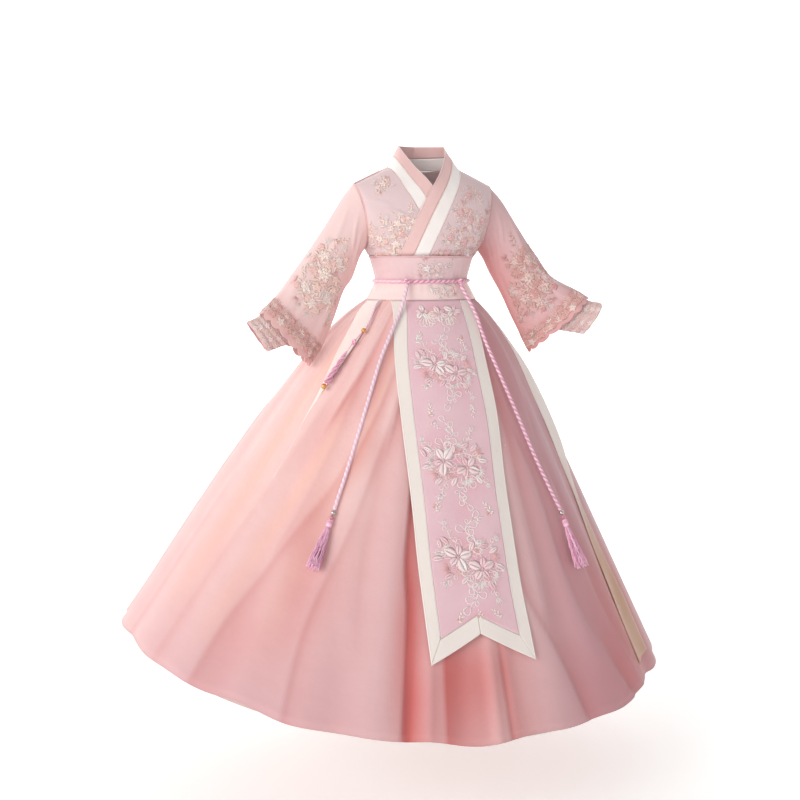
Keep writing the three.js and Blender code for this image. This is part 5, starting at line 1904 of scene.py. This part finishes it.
def floss(
    start: Array, end: Array, head: float, skirt: float, seed: int, curl: float, threads: int, rings: int
) -> Build:
    """A tassel: a bound head and many threads that hang from it.

    Args:
        start: Where it hangs from.
        end: Where its longest threads end.
        head: The head's radius.
        skirt: The radius of its lower end.
        seed: The draws' seed.
        curl: How wide each thread's curls are.
        threads: How many threads.
        rings: How many rings each thread has.

    Returns:
        The whole tassel.
    """
    rng = np.random.default_rng(seed)
    axis = end - start
    length = float(np.linalg.norm(axis))
    axis = axis / length
    side = unit(np.cross(axis, np.array([0.3, 1.0, 0.1])))
    other = np.cross(axis, side)
    bound = ((0.05, 0), (0.7, 0.01), (1, 0.06), (0.86, 0.13), (0.6, 0.155), (0.78, 0.17), (0.62, 0.2), (0.05, 0.22))
    profile = np.array(bound) * np.array([head, length])
    builds = [spun(profile, start, start + axis * profile[-1, 1], 20)]
    s = np.linspace(0, 1, rings)
    for _ in range(threads):
        turn, wide = rng.uniform(0, 2 * math.pi), math.sqrt(rng.uniform(0, 1))
        reach = rng.uniform(0.9, 1.0) * length
        out = mix(head * 0.62 * wide, skirt * wide * 0.96, s**0.8)
        sway = turn + 0.25 * np.sin(s * 3 + rng.uniform(0, 6))
        wind = s * rng.uniform(18, 30) + rng.uniform(0, 6)
        curled = curl * share(s, 0, 0.15)
        over, under = np.cos(sway) * out + np.cos(wind) * curled, np.sin(sway) * out + np.sin(wind) * curled
        fall = axis * mix(0.15 * length, reach, s)[:, None]
        build = tube(start + fall + side * over[:, None] + other * under[:, None], FLOSS_THREAD, 4)
        build.values["strand"] = np.full(len(build.verts), rng.uniform(0, 1))
        builds.append(build)
    return merge(builds)


def knot(middle: Array, sizes: tuple[float, float, float], turn: float) -> Build:
    """A small tied knot: a cord that winds as a trefoil inside the given half sizes.

    Args:
        middle: Its middle.
        sizes: Its half width, half depth and half height.
        turn: How far it is turned, in degrees.

    Returns:
        The knot.
    """
    t, radius, angle = np.linspace(0, 2 * math.pi, 120, endpoint=False), 2.0, math.radians(turn)
    x = (np.sin(t) + 2 * np.sin(2 * t)) / 3 * (sizes[0] - radius)
    y = -np.sin(3 * t) * (sizes[1] - radius)
    z = (np.cos(t) - 2 * np.cos(2 * t)) / 3 * (sizes[2] - radius)
    path = points(x * math.cos(angle) - y * math.sin(angle), x * math.sin(angle) + y * math.cos(angle), z)
    return tube(path + middle, radius, 12, lobes=2, pitch=8.0, dent=0.1, ring=True)


@dataclass
class Chain:
    """The line under a cord that beads, knots and tassels hang on, filled from its top."""

    rows: Line
    at: float = CHAIN_START

    def take(self, length: float) -> tuple[Array, Array]:
        """Where the next piece begins and ends; the one after it starts a seam lower."""
        path = along(np.array(self.rows, float), 400)
        run = np.linspace(0, lengths(path)[-1], len(path))
        places = [min(at, run[-1]) for at in (self.at, self.at + length)]
        self.at += length + SEAM
        start, end = (np.array([np.interp(place, run, path[:, i]) for i in range(3)]) for place in places)
        return start, end

    def bead(self, name: str, node: str, size: float, finish: Finish, slot: str) -> bpy.types.Object:
        """Threads the next bead."""
        return add_piece(name, ball(*self.take(size)), finish, slot, node)


@dataclass
class Cords:
    """The belt cord, its knots and free ends with beads and tassels, and the small pendant."""

    bead_silver: float = 9.0
    bead_pink: float = 7.5
    tassel: float = 91.0
    pearl: float = 4.5
    gold_top: float = 8.5
    gold_low: float = 10.0
    tie: float = 33.0
    fringe: float = 82.0

    def build(self) -> None:
        """Makes the free ends first, then the ring, the knots and the pendant."""
        self.free_end("right", END_RIGHT, Chain(DROP_RIGHT), PALE_TWIST, 3)
        self.free_end("left", END_LEFT, Chain(DROP_LEFT), END_TWIST, 4)
        turn = np.radians(np.arange(720) * 0.5)
        outward = points(np.sin(turn), -np.cos(turn), 0.0)
        ring = band_form(np.degrees(turn), np.full(len(turn), CINCH)) + outward * (BELT_OUT + 0.5)
        twist = twisted(ring, STRANDS_OUT, 10.0, ring=True)
        pale = share(-twist.verts[:, 0], 44.0, 60.0)
        twist.values["strand"] = mix(twist.values["strand"], 0.8 + 0.4 * twist.values["strand"], pale)
        add_piece("belt_ring", twist, BELT_TWIST, "cord_twist", "belt_cord")
        for name, phi in (("right", -30.0), ("left", 34.0)):
            out = points(math.sin(math.radians(phi)), -math.cos(math.radians(phi)), 0.0)
            middle = band_form(np.array(phi), np.array(CINCH)) + out * 10.4
            tied = knot(middle, (6, 4.8, 6.5), phi)
            add_piece(f"tied_knot_{name}", tied, BELT_TWIST, "cord_twist", f"belt_knot_{name}")
        self.pendant()

    def free_end(self, name: str, route: Line, chain: Chain, finish: Finish, seed: int) -> None:
        """Makes one free end of the belt cord, with its two beads and its tassel.

        Args:
            name: The side's word.
            route: Where the cord hangs, point by point.
            chain: The line that its beads and tassel hang on.
            finish: The cord's finish.
            seed: The tassel's seed.
        """
        path = along(np.array(route, float), 40)
        twist = twisted(along(path, 420), STRANDS_OUT, 10.0)
        line = add_piece(f"cord_end_{name}", twist, finish, "cord_twist", f"belt_end_{name}")
        beads = [
            chain.bead(f"round_belt_{kind}_{name}", f"belt_{kind}_{name}", size, look, slot)
            for kind, size, look, slot in (
                ("bead_silver", self.bead_silver, SILVER, "bead_silver"),
                ("bead_pink", self.bead_pink, PINK_BEAD, "bead_pink"),
            )
        ]
        tassel = floss(*chain.take(self.tassel), 5.2, 13.0, seed, curl=0.8, threads=90, rings=11)
        add_piece(f"tassel_{name}", tassel, FLOSS, "tassel_pink", f"belt_tassel_{name}")

    def pendant(self) -> None:
        """Makes the pendant's cord, pearl, beads, knot and curly tassel."""
        path, chain = along(np.array(PENDANT_CORD, float), 24), Chain(PENDANT_DROP)
        twist = twisted(along(path, 90), THIN_OUT, 7.0)
        line = add_piece("pendant_line", twist, PALE_TWIST, "cord_twist", "pendant_cord")
        beads = [
            chain.bead(f"round_{node}", node, size, look, slot)
            for node, size, look, slot in (
                ("pendant_bead_pearl", self.pearl, PEARL, "bead_pearl"),
                ("pendant_bead_gold_top", self.gold_top, GOLD, "bead_gold"),
            )
        ]
        start, end = chain.take(self.tie)
        thread = twisted(along(np.array([start, end]), 24), 1.1, 6.0, sides=8)
        tied = merge([thread, knot(mix(start, end, 0.72), (4.0, 3.4, 6.0), -40.0)])
        add_piece("pendant_tie", tied, CURLY_FLOSS, "tassel_pink", "pendant_knot")
        curls = floss(*chain.take(self.fringe), 1.6, 4.2, 6, curl=2.4, threads=20, rings=26)
        add_piece("pendant_fringe", curls, CURLY_FLOSS, "tassel_pink", "pendant_tassel")
        chain.bead("pendant_drop", "pendant_bead_gold_low", self.gold_low, GOLD, "bead_gold")


# ---- Embroidery ----


def heading(path: Array) -> Array:
    """Which way a stem runs at each of its points, in radians."""
    return np.arctan2(np.gradient(path[:, 1]), np.gradient(path[:, 0]))


@dataclass
class Embroidery:
    """The flowers, leaves and couched loops on the panel, fronts, sleeves, cuffs and sash.

    A place is an anchor's u, v and turn, and its size where that differs from one to the next.
    """

    tall: float = 0.26
    clusters: Line = ((3, 0.165, 6, 0.92), (-3, 0.39, -4, 1.0), (2, 0.615, 10, 1.05))
    cluster_fans: Line = (
        (-38, -8, -2.6, 0.0), (-14, 14, 2.0, 0.95), (36, -12, -0.4, 0.95), (18, 28, 1.3, 0.0),
        (0, -14, -1.5, 0.9), (-34, 16, 2.9, 0.95), (40, 18, 0.5, 0.0), (12, -24, -1.1, 0.0),
    )  # fmt: skip
    panel_sprouts: Line = (
        (-30, 0.735, 40, 0.8), (34, 0.735, -30, 0.7), (4, 0.735, 0, 0.6), (-38, 0.095, 30, 0.8),
        (36, 0.1, 160, 0.75), (-36, 0.27, 10, 0.8), (40, 0.265, 200, 0.8), (-44, 0.49, 25, 0.8),
        (44, 0.5, -20, 0.85), (-30, 0.3, 140, 0.6), (24, 0.52, 60, 0.6),
    )  # fmt: skip
    right_sprays: Line = (
        (0.3, 0.84, 40, 0.62), (0.62, 0.86, -30, 0.66), (0.86, 0.8, 20, 0.6), (0.5, 0.7, 75, 0.62),
        (0.2, 0.7, 10, 0.5), (0.42, 0.36, 60, 0.5),
    )  # fmt: skip
    right_sprouts: Line = (
        (0.3, 0.34, 30, 0.75), (0.6, 0.4, -25, 0.7), (0.74, 0.66, 20, 0.8), (0.12, 0.6, 0, 0.7), (0.95, 0.7, 0, 0.7),
    )  # fmt: skip
    left_sprays: Line = (
        (0.24, 0.62, 20, 0.56), (0.24, 0.82, -20, 0.58), (0.52, 0.84, 30, 0.68), (0.84, 0.82, -30, 0.6),
        (0.48, 0.66, -50, 0.6), (0.78, 0.64, 40, 0.56), (0.3, 0.46, 0, 0.42),
    )  # fmt: skip
    left_sprouts: Line = (
        (0.6, 0.46, 15, 0.9), (0.44, 0.42, -40, 0.8), (0.36, 0.76, 30, 0.7), (0.68, 0.74, 10, 0.7), (0.9, 0.5, 0, 0.7),
    )  # fmt: skip
    back_sprays: Line = ((-0.45, 0.4, 200, 0.7), (0.42, 0.42, 155, 0.7), (0.0, 0.6, 180, 0.6))
    sleeve_sprays: Line = (
        (84, 0.5, 25, 1.1), (112, 0.6, -40, 0.9), (60, 0.42, 70, 0.8), (62, 0.64, 10, 0.85), (96, 0.34, -20, 0.6),
        (90, 0.7, 60, 0.7), (268, 0.52, -25, 1.1), (245, 0.66, 35, 0.9), (292, 0.62, -15, 0.85),
    )  # fmt: skip
    sleeve_sprouts: Line = (
        (70, 0.26, 30), (130, 0.5, 20), (36, 0.56, 10), (140, 0.7, 0), (265, 0.3, 10), (330, 0.5, 0),
    )  # fmt: skip

    def spray(self, s: Stitches, tones: tuple[float, float, float] = (0.1, 0.8, 0.3)) -> None:
        """A bent stem with long leaves, three flat flowers and fans of fine stitches, about 80 mm long."""
        for line, leaves, length, tone in (
            (((4, 38), (-5, 16), (3, -8), (-6, -38)), 8, 16, 0.42),
            (((-2, 10), (-16, 2), (-28, -14)), 5, 13, 0.3),
            (((1, 18), (16, 12), (28, -2)), 5, 13, 0.5),
        ):
            s.sprig(line, leaves, length, tone, self.tall)
        for (x, y, radius), tone in zip(((0, 2, 12), (-15, 17, 8), (15, -16, 9)), tones):
            s.flower(x, y, radius, tone, self.tall, 0.15)
            s.fan(x, y, s.rng.uniform(0, 6), 5.6, 15, radius * 1.25, 0.0)
        for x, y, turn in ((-8, -24, -1.9), (22, 10, 0.2), (-24, 6, 2.6), (6, 30, 1.2)):
            s.fan(x, y, turn, 1.7, 9, 19, s.rng.choice([0.0, 0.06, 0.85]))
        s.knots(s.rng.uniform(-1, 1, (12, 2)) * np.array([22, 30]), 0.9, s.rng.uniform(0.6, 1, 12))

    def sprout(self, s: Stitches, tone: float = 0.4) -> None:
        """A small sprig with a fan of fine stitches, about 30 mm long."""
        s.sprig(((0, 15), (3, 2), (-2, -14)), 6, 11, tone, self.tall)
        s.fan(-1, 5, s.rng.uniform(0, 6), 2.4, 11, 10, s.rng.choice([0.0, 0.8]))

    def lace(self, s: Stitches, us: Array, v: float, up: float, size: float, tones: Sequence[float]) -> None:
        """A dense hem: leaves and fine stitches that stand up from it, with a small flower now and then.

        Args:
            s: The stitches to add to.
            us: Where along the hem each tuft stands.
            v: Where the hem is.
            up: 1 where the tufts point to smaller v, and -1 where they point to larger.
            size: Their size.
            tones: The tones that follow one another along it.
        """
        way = -0.5 * math.pi * up
        for i, u in enumerate(us):
            s.anchor(float(u), v, s.rng.uniform(-15, 15), size)
            tone = tones[i % len(tones)]
            s.fan(0, 0, way, 1.8, 7, 17, tones[(i + 1) % len(tones)])
            turns = way + np.array([-1.1, -0.35, 0.4, 1.2])
            s.petals(np.zeros((4, 2)), turns, 10.0, 0.2, self.tall, s.rng.uniform(tone, tone + 0.2, 4))
            if i % 3 == 0:
                s.flower(0, -4 * up, 6.5, tone, self.tall * 1.2, 0.25)
            s.knots(np.array([[3.0, -12.0 * up]]), 0.9, 0.8)

    def cluster(self, s: Stitches, size: float) -> None:
        """Two loose ribbon flowers and folded buds across the panel, with knots between them."""
        for x, y, radius, tone in ((-22, -5, 21, 0.3), (20, 9, 20, 0.5)):
            s.blossom(x * size, y * size, radius * size, tone)
        buds = np.array(
            (
                (-40, -22, 3.7), (-46, 2, 2.8), (-4, -16, -1.3), (30, -18, -0.7), (42, -2, 0.25),
                (34, 26, 0.9), (-2, 24, 2.2), (-28, 24, 2.5), (-52, -12, -2.0), (12, -26, -0.4),
            )
        )  # fmt: skip
        s.ribbons(buds[:, :2] * size, buds[:, 2], 18 * size, 0.28, 0.65, s.rng.uniform(0.15, 0.8, len(buds)))
        s.knots(s.rng.normal(0, 1, (46, 2)) * np.array([28, 15]) * size, 1.0, s.rng.uniform(0.5, 1.0, 46))

    def vine(self, s: Stitches, way: float, lean: float) -> None:
        """A curling couched stem with open loops; `way` is 1 downward, `lean` the side it starts to."""
        turned = np.array([lean, way])
        path = s.stem(np.array(((2, 14), (-12, 34), (9, 54), (-3, 76))) * turned, 0.75, 0.0, 24)
        index, sides = np.array([3, 7, 11, 15, 19, 23]), np.array([0.9, -0.9, 0.9, -0.9, 0.8, 0.0])
        ahead = heading(path)[index]
        s.loops(path[index], ahead + sides, 16.0, 0.7, 0.85, 0.0)
        s.loops(path[index[:5]], ahead[:5] - sides[:5] * 1.2, 10.0, 0.6, 0.7, 0.0)
        spots, sides = np.array([3, 6, 9, 11, 13]), np.array([0.9, -0.9, 0.8, -0.8, 0.0])
        for arm in (((-10, 26), (-30, 26), (-46, 42)), ((14, 26), (32, 34), (44, 54)), ((2, 14), (24, 16), (48, 8))):
            branch = s.stem(np.array(arm) * turned, 0.6, 0.05, 14)
            ahead = heading(branch)
            s.loops(branch[spots], ahead[spots] + sides, 9.5, 0.66, 0.6, 0.0)
            s.knots(branch[spots] + np.array([3.0, -3.0]), 1.0, 0.9)
            s.fan(*branch[-1], float(ahead[-1]), 1.3, 6, 15, 0.0)

    def panel(self, lay: Lay) -> None:
        """Clusters down the panel with vines between them, and a wide spray under the sash."""
        ribbons, couched = Stitches(lay, 11), Stitches(lay, 12)
        for i, (x, down, turn, size) in enumerate(self.clusters):
            self.cluster(ribbons.anchor(x, down, turn), size)
            for way in (-1.0, 1.0):
                self.vine(couched.anchor(x + 6 * way, down, turn, 0.95 * size), way, -way if i % 2 else way)
            couched.anchor(x, down, turn, size)
            for middle in ((-22, -5), (20, 9)):
                aims = couched.rng.uniform(0, 1) + np.arange(8) * 0.8
                couched.loops(np.tile([middle], (8, 1)), aims, 27.0, 0.34, 0.5, 0.0)
            for *spot, aim, tone in self.cluster_fans:
                couched.fan(*spot, aim, 2.4, 12, 18, tone)
        ribbons.anchor(0.0, 0.03)
        for flower in ((-26, 0, 14, 0.15), (4, 4, 16, 0.45), (32, -2, 14, 0.25)):
            ribbons.blossom(*flower)
        for side, tilt in ((-1, 0.0), (1, 0.25)):
            couched.anchor(side * 14.0, 0.034)
            aims = 0.5 * math.pi + side * (np.linspace(-0.3, 1.35, 6) + tilt)
            couched.loops(np.tile([[side * 6.0, 2.0]], (6, 1)), aims, 25.0, 0.42, 0.7, 0.0)
            couched.fan(side * 4.0, -2.0, 0.5 * math.pi + side * 0.5, 2.6, 12, 30, 0.3)
        for place in self.panel_sprouts:
            self.sprout(couched.anchor(*place), 0.0)
        ribbons.build("panel_flowers", PETAL, "panel_lace")
        couched.build("panel_vines", THREAD, "panel_lace")

    def fronts(self, lays: dict[str, Lay]) -> None:
        """Sprays on both fronts, dense over the sash and thin towards the shoulders."""
        for name, seed, tones, sprays, sprouts, finish in (
            ("right", 21, (0.3, 0.85, 0.4), self.right_sprays, self.right_sprouts, THREAD),
            # The left front, away from the light, takes the darker blush thread: painted shade.
            ("left", 22, (0.9, 0.3, 0.6), self.left_sprays, self.left_sprouts, THREAD_BLUSH),
        ):
            s = Stitches(lays[name], seed)
            for place in sprays:
                self.spray(s.anchor(*place), tones)
            for place in sprouts:
                self.sprout(s.anchor(*place))
            self.lace(s, np.linspace(0.12, 0.95, 13), 0.955, 1.0, 0.8, (0.7, 0.1, 0.45, 0.85))
            s.build(f"stitches_front_{name}", finish, "bodice_organza")

    def back(self, lay: Lay) -> None:
        """Quieter sprays on the back."""
        s = Stitches(lay, 23)
        for place in self.back_sprays:
            self.spray(s.anchor(*place))
        self.lace(s, np.linspace(-0.92, 0.92, 22), 0.05, -1.0, 0.7, (0.7, 0.1, 0.45))
        s.build("stitches_back", THREAD, "bodice_organza")

    def sleeves(self, lays: dict[str, Lay], cuffs: dict[str, Lay]) -> None:
        """Sprays on the front and back of each sleeve, a dense hem, and lace on the cuffs."""
        # The left sleeve's stitches take the darker thread: painted shade.
        for seed, side, finish in ((31, Side.RIGHT, THREAD), (32, Side.LEFT, THREAD_SHADED)):
            name, lean = side.word, -side.value
            s = Stitches(lays[name], seed)
            for turn, at, angle, size in self.sleeve_sprays:
                self.spray(s.anchor(turn, at, angle * lean, size), (0.3, 0.85, 0.62))
            for turn, at, angle in self.sleeve_sprouts:
                self.sprout(s.anchor(turn, at, angle * lean, 0.9))
            s.build(f"stitches_sleeve_{name}", finish, "sleeve_organza")
            s = Stitches(lays[name], seed + 20)
            self.lace(s, np.arange(52) * 360 / 52, 0.955, 1.0, 1.1, (0.75, 0.15, 0.9, 0.4))
            self.lace(s, np.arange(30) * 12.0 + 4, 0.885, 1.0, 0.85, (0.9, 0.6, 0.1))
            s.build(f"stitches_hem_{name}", THREAD_CORAL, "sleeve_organza")
            s = Stitches(cuffs[name], seed + 10)
            for row, v in enumerate((0.97, 0.8, 0.62, 0.44)):
                self.lace(s, np.arange(20) * 18.0 + 6 * row, v, 1.0, 0.8, (0.2, 0.35, 0.25))
            s.build(f"stitches_cuff_{name}", THREAD_BLUSH, "cuff_lace")

    def sash(self, lay: Lay) -> None:
        """A leaf motif that runs down both bands."""
        s = Stitches(lay, 41)
        self.spray(s.anchor(-8, -165, 205, 0.55), (0.15, 0.7, 0.45))
        self.spray(s.anchor(6, -168, 130, 0.46), (0.6, 0.1, 0.3))
        self.sprout(s.anchor(20, -160, 160, 0.8), 0.3)
        self.spray(s.anchor(12, -206, 160, 0.44), (0.2, 0.6, 0.1))
        self.sprout(s.anchor(-2, -206, 60, 0.9), 0.1)
        self.sprout(s.anchor(24, -206, 200, 0.8), 0.6)
        s.build("stitches_sash", THREAD_PALE, "sash_satin")


# ---- Room ----


@dataclass(frozen=True)
class RoomFinish(Finish):
    """A pale plain face, lit from within by `glow`."""

    glow: float

    def dress(self, s: Sketch, shader: bpy.types.Node) -> None:
        """Sets the shader's own values."""
        shader.inputs["Base Color"].default_value = (0.92, 0.915, 0.91, 1.0)
        shader.inputs["Roughness"].default_value = 0.95
        shader.inputs["Emission Color"].default_value = (1.0, 1.0, 1.0, 1.0)
        shader.inputs["Emission Strength"].default_value = self.glow


@dataclass
class Room:
    """The floor, the soft light and the camera."""

    floor: float = -1.09
    top: float = 9.0
    side: float = 14.0
    behind: float = 6.0

    def place(self, name: str, data: bpy.types.ID) -> bpy.types.Object:
        """Adds a camera, a light or a mesh to the scene."""
        obj = bpy.data.objects.new(name, data)
        bpy.context.scene.collection.objects.link(obj)
        return obj

    def camera(self) -> None:
        """Puts the camera in front, to the wearer's right, level with the waist."""
        lens = bpy.data.cameras.new("camera")
        lens.lens, lens.sensor_width = 60.75, 36.0
        eye = self.place("camera", lens)
        eye.location = (-0.7725, -2.3776, -0.133)
        eye.rotation_euler = (math.radians(90 - 6.34), 0.0, math.radians(-18 + 0.891))
        bpy.context.scene.camera = eye

    def sun(self, name: str, toward: Sequence[float], power: float, soft: float, colour: Sequence[float]) -> None:
        """Adds an even soft light that comes from a direction.

        Args:
            name: The light's name.
            toward: Where it comes from.
            power: Its strength.
            soft: How wide it is, in degrees.
            colour: Its colour.
        """
        lamp = bpy.data.lights.new(name, "SUN")
        lamp.energy, lamp.angle, lamp.color = power, math.radians(soft), colour
        x, y, z = toward
        turn = (math.atan2(math.hypot(x, y), z), 0.0, math.atan2(y, x) + math.pi / 2)
        self.place(name, lamp).rotation_euler = turn

    def slab(self, name: str, near: float, far: float, top: float, glow: float) -> None:
        """Adds one pale flat face of the room.

        Args:
            name: Its name.
            near: How far back its lower edge is.
            far: How far back its upper edge is.
            top: How high its upper edge is.
            glow: How much light it gives.
        """
        left, right, low = -self.side, self.side, self.floor
        mesh = bpy.data.meshes.new(name)
        corners = [(left, near, low), (right, near, low), (right, far, top), (left, far, top)]
        mesh.from_pydata(corners, [], [(0, 1, 2, 3)])
        mesh.materials.append(RoomFinish(f"{name}_white", glow).material())
        self.place(name, mesh)

    def build(self) -> None:
        """Makes the lights, the pale surroundings, the floor and the wall behind."""
        self.sun("key", (-0.84, -0.46, 0.32), 1.65, 40.0, (1.0, 0.98, 0.95))
        self.sun("fill", (-0.1, -0.95, 0.2), 0.3, 60.0, (0.98, 0.98, 1.0))
        world = bpy.data.worlds.new("room")
        world.use_nodes = True
        light = world.node_tree.nodes["Background"].inputs
        light[0].default_value, light[1].default_value = (1.0, 0.99, 0.985, 1.0), 0.44
        bpy.context.scene.world = world
        self.slab("floor", -self.side, self.side, self.floor, 0.3)
        self.slab("wall", self.behind, self.behind, self.top, 0.85)
        bpy.context.scene.view_settings.view_transform = "Standard"


def main() -> None:
    """Places the camera, builds the cords, the cloth and its embroidery, then the room's lights and faces."""
    logging.basicConfig(level=logging.INFO, format="%(name)s: %(message)s")
    LOG.info("the model has %d nodes", len(frame["nodes"]))
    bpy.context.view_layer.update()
    room, top, sash, sleeves, panel = Room(), Top(), Sash(), Sleeves(), Panel()
    room.camera()
    for part in (Cords(), top, sash, sleeves, Skirt(), panel):
        part.build()
    stitches = Embroidery()
    stitches.panel(panel.lay)
    stitches.fronts(top.lays)
    stitches.back(top.lays["back"])
    stitches.sleeves(sleeves.lays, sleeves.cuff_lays)
    stitches.sash(sash.lay)
    room.build()


if __name__ == "__main__":
    main()
